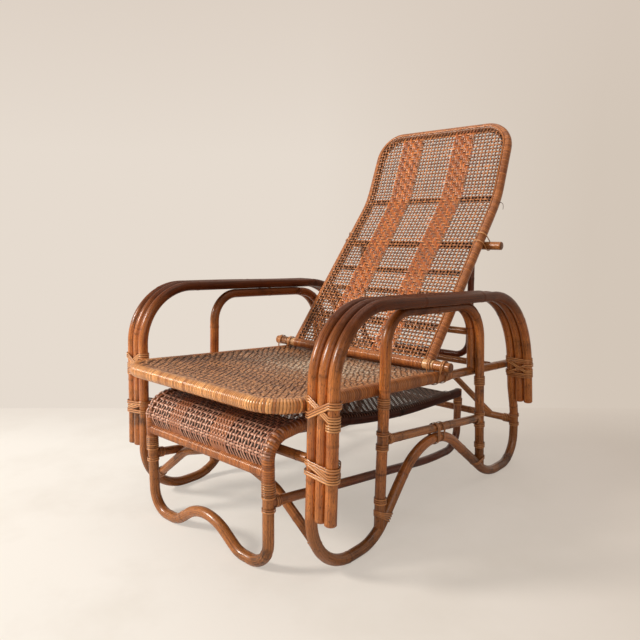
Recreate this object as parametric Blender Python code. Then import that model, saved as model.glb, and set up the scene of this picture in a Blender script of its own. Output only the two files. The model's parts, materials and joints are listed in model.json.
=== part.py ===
"""Rattan chaise longue: bent-pole frame, hinged backrest on a swinging prop, footrest that pulls out.

Metres, +Z up, the sitter faces -Y. Side views are given as (y, z) pairs measured from the front
foot of the arms and from the floor, and the whole chair is then centred over its own footprint.
"""
import math

import bmesh
import bpy
from mathutils import Vector

# Fits
GAP = 0.0003                   # left between pieces that touch
FOOT_FLAT = 0.001              # depth worn off the poles where they stand on the floor
STRAND_R = 0.0018              # half thickness of a lashing strand
LASH_GAP = 0.0010              # strand to pole, so that its flats clear the round

# Poles
POLE_R = 0.0123                # arms, foot rails and inner arches
SLIM_R = 0.0105                # lower rails, crossbars and braces
RUNG_R = 0.0095                # rungs and prop
RIM_R = 0.0152                 # seat rim with its cane wrapping
BARE_RAIL_R = 0.0115           # seat rail behind the wrapping
ARC_STEP = math.radians(15)    # one facet of a bend
POLE_SIDES = 8
BEARING_SIDES = 24             # of a fish mouth that turns on its pole

# Arms, in side view
ARM_X = 0.298                  # innermost of the three poles
ARM_PITCH = 2 * POLE_R + 2 * GAP
ARM_CUT_Z = 0.141
ARM_FRONT_LEAN = 0.0347        # y gained for each metre of height
ARM_FRONT_Z = 0.5545
ARM_FRONT_BEND = 0.145
ARM_REAR = (0.8263, 0.5215)
ARM_REAR_BEND = 0.235
ARM_REAR_CUT = (0.8736, 0.200)

# Foot rails: each runs on from the innermost arm pole, down, over a wave, and up the heel
SOLE_Z = POLE_R - FOOT_FLAT
TOE_Y = -0.004
TOE_BEND = 0.125
INSTEP_Y = 0.204
INSTEP_BEND = 0.1075
WAVE = (0.4136, 0.251)
WAVE_BEND = 0.17
BACKSTEP_Y = 0.7298
BACKSTEP_BEND = 0.17
HEEL_Y = 0.896
HEEL_BEND = 0.075
HEEL_KNEE_Z = 0.150
HEEL_KNEE_BEND = 0.25
HEEL_JOIN_Z = 0.240            # where the heel falls in line with the arm
HEEL_JOIN_BEND = 0.15
HEEL_SPLICE_Z = 0.275

# Inner arch under each arm, and the rack pole beside its rear leg
ARCH_FOOT_Y = 0.2226
ARCH_FRONT_Y = 0.240
ARCH_REAR_Y = 0.652
ARCH_HEEL_Y = 0.6855
ARCH_FRONT_BEND = 0.075
ARCH_REAR_BEND = 0.105
RACK_TOP_Y = 0.555
LOWER_RAIL_FALL = 0.12         # z lost for each metre towards the rear

# Seat
SEAT_FRONT = (-0.0636, 0.3657)
SEAT_FALL = 0.0653
SEAT_CORNER = 0.075
SEAT_WRAP_END_Y = 0.545
SEAT_RAIL_END_Y = 0.892
SEAT_REAR_BAR_Y = 0.528
CANE = 0.004                   # thickness of a woven panel
CORNER_ROWS = 6                # of a panel, round a corner of its frame
SEAT_PANEL_RISE = 0.004

# Backrest
HINGE_Y = 0.496
HINGE_BAR_R = 0.0132
HINGE_BAR_HALF = 0.3095
BACK_R = 0.0145
BACK_FOOT_X = 0.2352
BACK_BEND_X = 0.231
BACK_TOP_X = 0.2265
BACK_SETBACK = 0.010           # rails' centre line behind the hinge axis
BACK_LEAN = math.radians(39.2)
BACK_LENGTH = 0.5626
HEAD_LEAN = math.radians(20.3)
HEAD_LENGTH = 0.2305
HEAD_BEND = 0.25
HEAD_CORNER = 0.075
BACK_PANEL_RISE = 0.004        # between the hinge bar and the cane
HEAD_ROW_LEAD = 0.3            # of a row, before the first one round the head's corners
SLAT_R = 0.008
SLAT_AT = (0.105, 0.215, 0.290, 0.560)    # along the back, from the hinge
BACK_BANDS = ((-0.131, -0.064), (0.051, 0.121))    # x of the two upright bands of close weave
BACK_MARGIN = 0.045            # close weave over the rails and along them
SLAT_MARGIN = 0.012            # close weave each side of a slat
BACK_MESH = (0.026, 0.046)     # pitch of the openings across and along, several real ones in each
BACK_STRAND = 0.012            # cane between two openings

# Prop and its rungs
PEG_AT = 0.4121                # along the back, from the hinge
PEG_R = 0.0115
PEG_LEFT = 0.289               # it stands clear of the back on this side only
PEG_RIGHT = 0.256
PROP_BEND = 0.045
RUNG_LOW_RISE = 0.005          # lower rung above the centre line of the seat rails
RUNG_HIGH_Z = 0.4265

# Braces between the sides
CROSSBAR_Z = 0.245
FRONT_BRACE_Y = 0.034
FRONT_BRACE_SHOULDER = (0.165, 0.152)
FRONT_BRACE_SHOULDER_BEND = 0.10
FRONT_BRACE_CROWN_Z = 0.200
FRONT_BRACE_CROWN_BEND = 0.30
REAR_BAR_Z = 0.1325
REAR_BRACE_X = 0.225
REAR_BRACE_CROWN_Z = 0.300
REAR_BRACE_CROWN_BEND = 0.13

# Footrest
REST_X = 0.209
REST_R = 0.0135
REST_FRONT_Y = -0.030
REST_SPLICE_Z = 0.195
REST_KNUCKLE_Z = 0.2845
REST_KNUCKLE_BEND = 0.050
REST_CREST = (0.090, 0.296)
REST_CREST_BEND = 0.35
REST_DIP = (0.340, 0.243)
REST_DIP_BEND = 1.8
REST_END = (0.712, 0.235)
REST_FRONT_BAR_Z = 0.2167
REST_FRONT_BAR_R = 0.0125
REST_REAR_BAR_Y = 0.655
REST_LOW_FALL = 0.1305
REST_LOW_BEND_Y = 0.560
REST_LOW_END_Z = 0.0735
REST_LOW_EASE = 1.0
REST_HEEL_BEND = 0.055
REST_HEEL_TOP_Z = 0.246
BOW_TOE_X = 0.205
BOW_TOE_BEND = 0.055
BOW_FLAT_X = 0.112
BOW_FLAT_BEND = 0.070
BOW_CROWN_Z = 0.088
BOW_CROWN_BEND = 0.12

LASH_SPREAD = 0.0023           # between a strand and the rail that it passes beside
LASH_PITCH = 0.0075
LASH_LEVEL = RIM_R + STRAND_R + LASH_SPREAD    # a strand that clears the seat rim

# Colours, linear
TAN = (0.42, 0.20, 0.075)
BROWN = (0.20, 0.075, 0.030)
DARK = (0.085, 0.030, 0.016)
HONEY = (0.45, 0.23, 0.09)
CANE_TAN = (0.55, 0.34, 0.16)

SIDES = (("left", 1), ("right", -1))

for old in list(bpy.data.objects):
    bpy.data.objects.remove(old, do_unlink=True)


# Paths

def bent(*corners):
    """Points along straight runs joined by arcs; a corner is (point, bend radius)."""
    points = [Vector(corners[0][0])]
    for (before, _), (corner, radius), (after, _) in zip(corners, corners[1:], corners[2:]):
        corner = Vector(corner)
        back = (Vector(before) - corner).normalized()
        on = (Vector(after) - corner).normalized()
        turn = math.pi - back.angle(on)
        inward = (back + on).normalized()
        centre = corner + inward * radius / math.cos(turn / 2)
        across = (on - back).normalized()
        count = max(2, math.ceil(turn / ARC_STEP))
        for i in range(count + 1):
            angle = turn * (i / count - 0.5)
            points.append(centre + radius * (across * math.sin(angle) - inward * math.cos(angle)))
    points.append(Vector(corners[-1][0]))
    return points


def in_side_view(x, *corners):
    """A bent path in the upright plane at x; a corner is (y, z) or (y, z, bend radius)."""
    return bent(*(((x, c[0], c[1]), c[2] if len(c) > 2 else 0) for c in corners))


def across(half, y, z):
    return [Vector((-half, y, z)), Vector((half, y, z))]


def height_at(path, y, first=True):
    """Height of a side path where it passes y, on its first or last crossing."""
    found = [a.z + (b.z - a.z) * (y - a.y) / (b.y - a.y)
             for a, b in zip(path, path[1:]) if min(a.y, b.y) <= y <= max(a.y, b.y) and a.y != b.y]
    return found[0 if first else -1]


def depth_at(path, z):
    """How far back a side path is at height z, on its last crossing."""
    found = [a.y + (b.y - a.y) * (z - a.z) / (b.z - a.z)
             for a, b in zip(path, path[1:]) if min(a.z, b.z) <= z <= max(a.z, b.z) and a.z != b.z]
    return found[-1]


def seat_z(y):
    return SEAT_FRONT[1] - SEAT_FALL * (y - SEAT_FRONT[0])


# Solids

def empty(name, place, parent=None):
    obj = bpy.data.objects.new(name, None)
    bpy.context.scene.collection.objects.link(obj)
    obj.parent = parent
    obj.location = Vector(place) - (parent.matrix_world.translation if parent else Vector())
    bpy.context.view_layer.update()
    return obj


def finish_material(name, colour, roughness):
    material = bpy.data.materials.new(name)
    material.use_nodes = True
    shader = material.node_tree.nodes["Principled BSDF"]
    shader.inputs["Base Color"].default_value = (*colour, 1)
    shader.inputs["Roughness"].default_value = roughness
    shader.inputs["Metallic"].default_value = 0
    return material


def put(name, mesh, parent, colour, roughness=0.45):
    """Puts a mesh drawn in chair coordinates under a parent, with a material of its own."""
    offset = parent.matrix_world.translation - chair.matrix_world.translation
    for vertex in mesh.vertices:
        vertex.co -= offset
    mesh.materials.append(finish_material(name, colour, roughness))
    mesh.shade_smooth()
    mesh.set_sharp_from_angle(angle=math.radians(50))
    obj = bpy.data.objects.new(name, mesh)
    bpy.context.scene.collection.objects.link(obj)
    obj.parent = parent
    return obj


def tube_mesh(path, radius, sides=POLE_SIDES):
    """A round bar along a path, from a bevelled curve with filled caps."""
    curve = bpy.data.curves.new("bar", "CURVE")
    curve.dimensions = "3D"
    curve.bevel_depth = radius
    curve.bevel_resolution = sides // 2 - 2
    curve.use_fill_caps = True
    spline = curve.splines.new("POLY")
    spline.points.add(len(path) - 1)
    for point, place in zip(spline.points, path):
        point.co = (*place, 1)
    holder = bpy.data.objects.new("bar", curve)
    mesh = bpy.data.meshes.new_from_object(holder)
    bpy.data.objects.remove(holder)
    bpy.data.curves.remove(curve)
    shell = bmesh.new()
    shell.from_mesh(mesh)
    bmesh.ops.remove_doubles(shell, verts=shell.verts, dist=1e-6)
    bmesh.ops.recalc_face_normals(shell, faces=shell.faces)
    shell.to_mesh(mesh)
    shell.free()
    return mesh


poles = {}      # name: (path, radius, sides), for the cuts that seat one pole on another


def pole(name, path, radius, parent, colour, sides=POLE_SIDES, roughness=0.4):
    poles[name] = (path, radius, sides)
    return put(name, tube_mesh(path, radius, sides), parent, colour, roughness)


def cut(obj, mesh):
    """Takes a cutter drawn in chair coordinates out of an object."""
    cutter = bpy.data.objects.new(obj.name + ".cutter", mesh)
    bpy.context.scene.collection.objects.link(cutter)
    cutter.parent = chair
    cutter.hide_render = True
    cutter.display_type = "WIRE"
    modifier = obj.modifiers.new("seat", "BOOLEAN")
    modifier.operation = "DIFFERENCE"
    modifier.object = cutter


def cope(obj, *neighbours):
    """Fish-mouths a pole's ends to the poles that it butts against."""
    for neighbour in neighbours:
        path, radius, sides = poles[neighbour]
        cut(obj, tube_mesh(path, radius + GAP / math.cos(math.pi / sides), sides))


def wear_flat(obj):
    """Levels a pole off where it stands on the floor."""
    shell = bmesh.new()
    bmesh.ops.create_cube(shell, size=3)
    mesh = bpy.data.meshes.new("floor")
    shell.to_mesh(mesh)
    shell.free()
    for vertex in mesh.vertices:
        vertex.co.z -= 1.5
    cut(obj, mesh)


def sheet_mesh(rows, thickness, lines=(0, 1), openings=()):
    """A closed sheet through rows of (left edge, right edge, normal), crossed by lines at shares of its width.

    A cell is (row, line); those in openings are left open.
    """
    shell = bmesh.new()
    front = []
    behind = {}
    for left, right, normal in rows:
        half = normal.normalized() * thickness / 2
        front.append([])
        for share in lines:
            place = left.lerp(right, share)
            front[-1].append(shell.verts.new(place + half))
            behind[front[-1][-1]] = shell.verts.new(place - half)
    for i, (row, after) in enumerate(zip(front, front[1:])):
        for j in range(len(lines) - 1):
            if (i, j) not in openings:
                shell.faces.new((row[j], row[j + 1], after[j + 1], after[j]))
    rims = [edge.verts[:] for edge in shell.edges if len(edge.link_faces) == 1]
    for face in shell.faces[:]:
        shell.faces.new([behind[corner] for corner in reversed(face.verts)])
    for a, b in rims:
        shell.faces.new((a, b, behind[b], behind[a]))
    bmesh.ops.recalc_face_normals(shell, faces=shell.faces)
    mesh = bpy.data.meshes.new("sheet")
    shell.to_mesh(mesh)
    shell.free()
    return mesh


def spaced(low, high, pitch, bar):
    """Even openings from low to high, about a pitch apart, as (start, end) with a bar between neighbours."""
    count = max(1, round((high - low + bar) / pitch))
    step = (high - low + bar) / count
    return [(low + i * step, low + (i + 1) * step - bar) for i in range(count)]


# Lashings

def winding(name, path, parent):
    """One unbroken strand along a path; prints the least gap that it keeps to itself."""
    apart = [(a - b).length for i, a in enumerate(path) for b in path[i + 8:]]
    print(f"{name}: least gap to itself {1000 * (min(apart) - 2 * STRAND_R):.2f} mm")
    return put(name, tube_mesh(path, STRAND_R, 6), parent, HONEY, 0.5)


def lace(panel, path):
    """Opens the cane where a strand goes through it."""
    cut(panel, tube_mesh(path, STRAND_R + LASH_GAP, 6))


def lash_poles(origin, outward, back, along, span, depth, stations):
    """Turns round a row of poles: a station is (level, layer) at the outer and inner ends in turn."""
    path = []
    for k, ((level, layer), (next_level, next_layer)) in enumerate(zip(stations, stations[1:])):
        front = k % 2 == 0
        reach = POLE_R + LASH_GAP + STRAND_R + layer * (2 * STRAND_R + 2 * GAP)
        next_reach = POLE_R + LASH_GAP + STRAND_R + next_layer * (2 * STRAND_R + 2 * GAP)
        for i in range(7):
            t = i / 6
            ease = t * t * (3 - 2 * t)
            u = span * (1 - t) if front else span * t
            v = -reach if front else depth + reach
            path.append(origin + outward * u + back * v + along * (level + (next_level - level) * ease))
        turns = [(i, 0) for i in (1, 2, 3)] + [(i, depth) for i in (3, 4, 5) if depth or i > 3]
        for i, shift in turns:
            angle = math.pi * i / 6
            r = reach + (next_reach - reach) * i / 6
            u = -r * math.sin(angle) if front else span + r * math.sin(angle)
            v = shift - r * math.cos(angle)
            path.append(origin + outward * u + back * (v if front else depth - v) + along * next_level)
    return path


def lash_crossing(bar_at, bar, bar_r, rail_at, rail, rail_r, turns):
    """A square lashing: over the bar on both sides of the rail, and under the rail between."""
    away = (bar_at - rail_at).normalized()
    path = []
    for turn in range(turns):
        clear = LASH_GAP + STRAND_R + turn * (2 * STRAND_R + 2 * GAP)
        a = rail_r + clear
        b = bar_r + clear
        angles = [math.pi * i / 5 for i in range(6)]
        path += [bar_at + bar * a + b * (away * math.sin(t) - rail * math.cos(t)) for t in angles]
        path += [rail_at + rail * b + a * (bar * math.cos(t) - away * math.sin(t)) for t in angles]
        path += [bar_at - bar * a + b * (away * math.sin(t) + rail * math.cos(t)) for t in angles]
        path += [rail_at - rail * b - a * (bar * math.cos(t) + away * math.sin(t)) for t in angles]
    return path


def lash_head(peg_at, peg, peg_r, leg_r, neck):
    """A sling: over the peg on both sides of the leg, and round the leg's neck below."""
    back = Vector((0, 1, 0))
    up = Vector((0, 0, 1))
    clear = LASH_GAP + STRAND_R
    a = leg_r + clear
    b = peg_r + clear
    angles = [math.pi * i / 7 for i in range(8)]
    path = [peg_at - peg * a - back * a - up * neck, peg_at + peg * a - back * a - up * neck]
    path += [peg_at + peg * a + b * (up * math.sin(t) - back * math.cos(t)) for t in angles]
    path += [peg_at + peg * a + back * a - up * neck, peg_at - peg * a + back * a - up * neck]
    path += [peg_at - peg * a + b * (up * math.sin(t) + back * math.cos(t)) for t in angles]
    path.append(peg_at - peg * (a + STRAND_R + 2 * GAP) - back * b - up * (neck - 4 * STRAND_R))
    return path


# Where things are, in side view

def back_place(x, along, behind=0.0):
    """A point on the backrest: distance along it from the hinge, and distance behind its centre line."""
    lower = min(along, BACK_LENGTH)
    upper = max(along - BACK_LENGTH, 0)
    lean = BACK_LEAN if along <= BACK_LENGTH else HEAD_LEAN
    y = HINGE_Y + BACK_SETBACK * math.cos(BACK_LEAN)
    z = HINGE_Z - BACK_SETBACK * math.sin(BACK_LEAN)
    y += lower * math.sin(BACK_LEAN) + upper * math.sin(HEAD_LEAN) + behind * math.cos(lean)
    z += lower * math.cos(BACK_LEAN) + upper * math.cos(HEAD_LEAN) - behind * math.sin(lean)
    return Vector((x, y, z))


def back_x(along):
    """Half width between the backrest's rails' centre lines."""
    if along <= BACK_LENGTH:
        return BACK_FOOT_X + (BACK_BEND_X - BACK_FOOT_X) * along / BACK_LENGTH
    return BACK_BEND_X + (BACK_TOP_X - BACK_BEND_X) * (along - BACK_LENGTH) / HEAD_LENGTH


RIM_X = ARM_X - POLE_R - RIM_R - GAP
BARE_RAIL_X = ARM_X - POLE_R - BARE_RAIL_R - GAP
RACK_X = ARM_X - 2 * POLE_R - GAP
HINGE_Z = seat_z(HINGE_Y) + RIM_R + HINGE_BAR_R + GAP
PEG = back_place(0, PEG_AT, BACK_R + PEG_R + GAP)
LASH_OUT = LASH_GAP + 2 * STRAND_R                # a lashing's outside, from the pole that it holds
PROP_X = back_x(PEG_AT) - BACK_R - RUNG_R - 2 * LASH_OUT - 2 * GAP
BACK_TOP = BACK_LENGTH + HEAD_LENGTH

arm_front_y = ARM_FRONT_LEAN * (ARM_FRONT_Z - ARM_CUT_Z)
arm_rear_lean = (ARM_REAR_CUT[0] - ARM_REAR[0]) / (ARM_REAR_CUT[1] - ARM_REAR[1])
heel_join_y, heel_splice_y = (ARM_REAR[0] + arm_rear_lean * (z - ARM_REAR[1])
                              for z in (HEEL_JOIN_Z, HEEL_SPLICE_Z))
crossbar_y = ARM_FRONT_LEAN * (CROSSBAR_Z - ARM_CUT_Z) + POLE_R + SLIM_R + GAP

# The lower rung stands clear of the circle that the prop's foot swings on
rung_low = Vector((0, 0, 0))
hinge_to_peg = Vector((0, PEG.y - HINGE_Y, PEG.z - HINGE_Z))
prop_reach = (2 * RUNG_R + GAP) / hinge_to_peg.length
rung_low.y = PEG.y - hinge_to_peg.y * prop_reach
rung_low.z = seat_z(rung_low.y) + RUNG_LOW_RISE
PROP_FOOT_Z = rung_low.z + hinge_to_peg.z * prop_reach

# The chair is centred over its footprint, from the seat's front edge to the top of the back
front_reach = SEAT_FRONT[0] - RIM_R
rear_reach = back_place(0, BACK_TOP).y + BACK_R
chair = empty("chair", (0, -(front_reach + rear_reach) / 2, 0))
shift = chair.matrix_world.translation
backrest = empty("backrest_hinge", Vector((0, HINGE_Y, HINGE_Z)) + shift, chair)
prop = empty("prop_hinge", PEG + shift, backrest)
crossbar_axis = empty("crossbar_axis", Vector((0, crossbar_y, CROSSBAR_Z)) + shift, chair)
footrest = empty("footrest_slide", Vector((0, REST_FRONT_Y, 0)) + shift, crossbar_axis)


# Side frames

def arm_path(x, end):
    return in_side_view(x, (0, ARM_CUT_Z + GAP), (arm_front_y, ARM_FRONT_Z, ARM_FRONT_BEND),
                        (*ARM_REAR, ARM_REAR_BEND), end)


for side, s in SIDES:
    inner = arm_path(s * ARM_X, (heel_splice_y, HEEL_SPLICE_Z + GAP))
    pole(f"arm_pole_inner_{side}", inner, POLE_R, chair, BROWN)
    for k, place in ((1, "middle"), (2, "outer")):
        path = arm_path(s * (ARM_X + k * ARM_PITCH), ARM_REAR_CUT)
        pole(f"arm_pole_{place}_{side}", path, POLE_R, chair, BROWN)

    foot_rail_path = in_side_view(
        s * ARM_X, (0, ARM_CUT_Z), (TOE_Y, SOLE_Z, TOE_BEND), (INSTEP_Y, SOLE_Z, INSTEP_BEND),
        (*WAVE, WAVE_BEND), (BACKSTEP_Y, SOLE_Z, BACKSTEP_BEND), (HEEL_Y, SOLE_Z, HEEL_BEND),
        (HEEL_Y, HEEL_KNEE_Z, HEEL_KNEE_BEND), (heel_join_y, HEEL_JOIN_Z, HEEL_JOIN_BEND),
        (heel_splice_y, HEEL_SPLICE_Z))
    foot_rail = pole(f"foot_rail_{side}", foot_rail_path, POLE_R, chair, TAN)
    wear_flat(foot_rail)

    # The inner arch hugs the underside of the arm
    arm_fall = (ARM_REAR[1] - ARM_FRONT_Z) / (ARM_REAR[0] - arm_front_y)
    under = (2 * POLE_R + GAP) * math.hypot(1, arm_fall)
    top_z = [ARM_FRONT_Z + arm_fall * (y - arm_front_y) - under
             for y in (ARCH_FRONT_Y, ARCH_REAR_Y, RACK_TOP_Y)]
    foot_z = height_at(foot_rail_path, ARCH_FOOT_Y)
    heel_z = height_at(foot_rail_path, ARCH_HEEL_Y)
    arch_rear = (ARCH_REAR_Y, top_z[1], ARCH_REAR_BEND)
    arch = pole(f"inner_arch_{side}", in_side_view(
        s * ARM_X, (ARCH_FOOT_Y, foot_z), (ARCH_FRONT_Y, top_z[0], ARCH_FRONT_BEND), arch_rear,
        (ARCH_HEEL_Y, heel_z)), POLE_R, chair, TAN)
    cope(arch, f"foot_rail_{side}")

    # The lower rail lies on the crest of the foot rail's wave, between the legs of the arch
    crest = max((p for p in foot_rail_path if INSTEP_Y < p.y < BACKSTEP_Y),
                key=lambda p: p.z + p.y * LOWER_RAIL_FALL)
    lift = (POLE_R + SLIM_R + GAP) * math.hypot(1, LOWER_RAIL_FALL)
    lower_ends = []
    for foot_y, leg_foot_z, top_y, leg_top_z in ((ARCH_FOOT_Y, foot_z, ARCH_FRONT_Y, top_z[0]),
                                                 (ARCH_HEEL_Y, heel_z, ARCH_REAR_Y, top_z[1])):
        z = crest.z + lift - LOWER_RAIL_FALL * (top_y - crest.y)
        y = foot_y + (top_y - foot_y) * (z - leg_foot_z) / (leg_top_z - leg_foot_z)
        lower_ends.append((y, z - LOWER_RAIL_FALL * (y - top_y)))
    lower = pole(f"lower_side_rail_{side}", in_side_view(s * ARM_X, *lower_ends), SLIM_R, chair, TAN)
    cope(lower, f"inner_arch_{side}")

    rail_ends = [(y, seat_z(y)) for y in (SEAT_WRAP_END_Y + GAP, SEAT_RAIL_END_Y)]
    pole(f"seat_rail_{side}", in_side_view(s * BARE_RAIL_X, *rail_ends), BARE_RAIL_R, chair, BROWN)

    lean = (ARCH_HEEL_Y - ARCH_REAR_Y) / (heel_z - top_z[1])
    rack_z = seat_z(ARCH_REAR_Y)
    rack_y = ARCH_REAR_Y + lean * (rack_z - top_z[1])
    rack = pole(f"rack_pole_{side}", in_side_view(
        s * RACK_X, (RACK_TOP_Y, top_z[2]), arch_rear, (rack_y, rack_z)), POLE_R, chair, BROWN)
    cope(rack, f"seat_rail_{side}")

# Seat

rim_front, rim_rear = ((y, seat_z(y)) for y in (SEAT_FRONT[0], SEAT_WRAP_END_Y))
pole("seat_rim", bent(((RIM_X, *rim_rear), 0), ((RIM_X, *rim_front), SEAT_CORNER),
                      ((-RIM_X, *rim_front), SEAT_CORNER), ((-RIM_X, *rim_rear), 0)), RIM_R, chair, HONEY)
rear_bar = pole("seat_rear_bar", across(RIM_X, SEAT_REAR_BAR_Y, seat_z(SEAT_REAR_BAR_Y)), SLIM_R, chair, TAN)
cope(rear_bar, "seat_rim")

inside = math.sqrt(RIM_R ** 2 - SEAT_PANEL_RISE ** 2) + GAP
corner = SEAT_CORNER - inside
front_edge = SEAT_FRONT[0] + inside
rows = []
for i in range(CORNER_ROWS + 1):
    angle = math.pi / 2 * i / CORNER_ROWS
    inset = corner * (1 - math.sin(angle))
    rows.append((front_edge + corner * (1 - math.cos(angle)), RIM_X - inside - inset))
rows.append((SEAT_REAR_BAR_Y - math.sqrt(SLIM_R ** 2 - SEAT_PANEL_RISE ** 2) - GAP, RIM_X - inside))
seat_up = Vector((0, SEAT_FALL, 1))
rows = [(Vector((-x, y, seat_z(y) + SEAT_PANEL_RISE)), Vector((x, y, seat_z(y) + SEAT_PANEL_RISE)), seat_up)
        for y, x in rows]
seat_panel = put("seat_panel", sheet_mesh(rows, CANE), chair, CANE_TAN, 0.6)

# Braces

pole("front_crossbar", across(ARM_X + 2 * ARM_PITCH, crossbar_y, CROSSBAR_Z), SLIM_R, crossbar_axis, TAN)

brace_foot_z = height_at(foot_rail_path, FRONT_BRACE_Y)
brace_corners = [(ARM_X, brace_foot_z, 0), (*FRONT_BRACE_SHOULDER, FRONT_BRACE_SHOULDER_BEND),
                 (0, FRONT_BRACE_CROWN_Z, FRONT_BRACE_CROWN_BEND)]
brace_corners += [(-x, z, bend) for x, z, bend in reversed(brace_corners[:-1])]
front_brace = pole("front_brace", bent(*(((x, FRONT_BRACE_Y, z), bend) for x, z, bend in brace_corners)),
                   SLIM_R, chair, TAN)
cope(front_brace, "foot_rail_left", "foot_rail_right")

rear_y = depth_at(foot_rail_path, REAR_BAR_Z)
rear_crossbar = pole("rear_crossbar", across(ARM_X, rear_y, REAR_BAR_Z), SLIM_R, chair, TAN)
cope(rear_crossbar, "foot_rail_left", "foot_rail_right")
rear_brace = pole("rear_brace", bent(
    ((REAR_BRACE_X, rear_y, REAR_BAR_Z), 0), ((0, rear_y, REAR_BRACE_CROWN_Z), REAR_BRACE_CROWN_BEND),
    ((-REAR_BRACE_X, rear_y, REAR_BAR_Z), 0)), RUNG_R, chair, TAN)
cope(rear_brace, "rear_crossbar")

rack_path = poles["rack_pole_left"][0]
rung_high_y = depth_at(rack_path, RUNG_HIGH_Z)
rung_high = pole("prop_rung_upper", across(RACK_X, rung_high_y, RUNG_HIGH_Z), RUNG_R, chair, TAN)
cope(rung_high, "rack_pole_left", "rack_pole_right")
rung = pole("prop_rung_lower", across(BARE_RAIL_X, rung_low.y, rung_low.z), RUNG_R, chair, TAN)
cope(rung, "seat_rail_left", "seat_rail_right")

# Backrest

pole("hinge_bar", across(HINGE_BAR_HALF, HINGE_Y, HINGE_Z), HINGE_BAR_R, backrest, TAN)
half = [(back_place(back_x(0), 0), 0), (back_place(BACK_BEND_X, BACK_LENGTH), HEAD_BEND),
        (back_place(BACK_TOP_X, BACK_TOP), HEAD_CORNER)]
half += [(Vector((-p.x, p.y, p.z)), bend) for p, bend in reversed(half)]
back_frame = pole("backrest_frame", bent(*half), BACK_R, backrest, HONEY)
cope(back_frame, "hinge_bar")

head_ease = HEAD_BEND * math.tan((BACK_LEAN - HEAD_LEAN) / 2)
panel_foot = HINGE_BAR_R + BACK_PANEL_RISE
panel_front = BACK_R + GAP + CANE / 2       # the cane lies on the front of the rails


def panel_row(along, inset=0.0):
    """Ends and normal of a row of the back's cane, which cuts the corner at the bend of the head."""
    x = back_x(along) - inset
    low, high = BACK_LENGTH - head_ease, BACK_LENGTH + head_ease
    share = min(max((along - low) / (high - low), 0), 1)
    place = back_place(0, along, -panel_front)
    if 0 < share < 1:
        place = back_place(0, low, -panel_front).lerp(back_place(0, high, -panel_front), share)
    lean = BACK_LEAN + (HEAD_LEAN - BACK_LEAN) * share
    across_back = Vector((x, 0, 0))
    return place - across_back, place + across_back, Vector((0, -math.cos(lean), math.sin(lean)))


edge_x = back_x(panel_foot)
zones = zip([BACK_MARGIN - edge_x] + [end for _, end in BACK_BANDS],
            [start for start, _ in BACK_BANDS] + [edge_x - BACK_MARGIN])
mesh_columns = [cell for low, high in zones for cell in spaced(low, high, BACK_MESH[0], BACK_STRAND)]
zones = zip([panel_foot + SLAT_MARGIN] + [along + SLAT_MARGIN for along in SLAT_AT],
            [along - SLAT_MARGIN for along in SLAT_AT] + [BACK_TOP - HEAD_CORNER])
mesh_rows = [cell for low, high in zones for cell in spaced(low, high, BACK_MESH[1], BACK_STRAND)]

stations = {panel_foot: 0, BACK_LENGTH - head_ease: 0, BACK_LENGTH + head_ease: 0}     # along: inset
stations.update({along: 0 for cell in mesh_rows for along in cell})
for i in range(CORNER_ROWS):
    angle = math.pi / 2 * (i + HEAD_ROW_LEAD) / CORNER_ROWS
    drop = HEAD_CORNER * (1 - math.sin(angle))
    stations[BACK_TOP - drop] = HEAD_CORNER * (1 - math.cos(angle))
levels = sorted(stations)
lines = sorted({-edge_x, edge_x, *(x for cell in mesh_columns for x in cell)})
open_rows = [i for i, pair in enumerate(zip(levels, levels[1:]))
             if any(low <= sum(pair) / 2 <= high for low, high in mesh_rows)]
open_lines = [j for j, pair in enumerate(zip(lines, lines[1:])) if pair in mesh_columns]
backrest_panel = put("backrest_panel", sheet_mesh(
    [panel_row(along, stations[along]) for along in levels], CANE,
    [(x + edge_x) / (2 * edge_x) for x in lines], {(i, j) for i in open_rows for j in open_lines}),
    backrest, CANE_TAN, 0.6)

for i, along in enumerate(SLAT_AT, 1):
    place = back_place(0, along, SLAT_R - BACK_R)
    slat = pole(f"back_slat_{i}", across(back_x(along), place.y, place.z), SLAT_R, backrest, DARK, 6)
    cope(slat, "backrest_frame")

pole("peg_bar", [Vector((-PEG_RIGHT, PEG.y, PEG.z)), Vector((PEG_LEFT, PEG.y, PEG.z))], PEG_R, backrest, TAN)

# Prop

prop_path = bent((Vector((PROP_X, PEG.y, PEG.z)), 0), ((PROP_X, PEG.y, PROP_FOOT_Z), PROP_BEND),
                 ((-PROP_X, PEG.y, PROP_FOOT_Z), PROP_BEND), (Vector((-PROP_X, PEG.y, PEG.z)), 0))
bail = pole("prop_bail", prop_path, RUNG_R, prop, DARK)
bearing_r = (PEG_R + GAP) / math.cos(math.pi / BEARING_SIDES)
cut(bail, tube_mesh(poles["peg_bar"][0], bearing_r, BEARING_SIDES))

# Footrest

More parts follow.
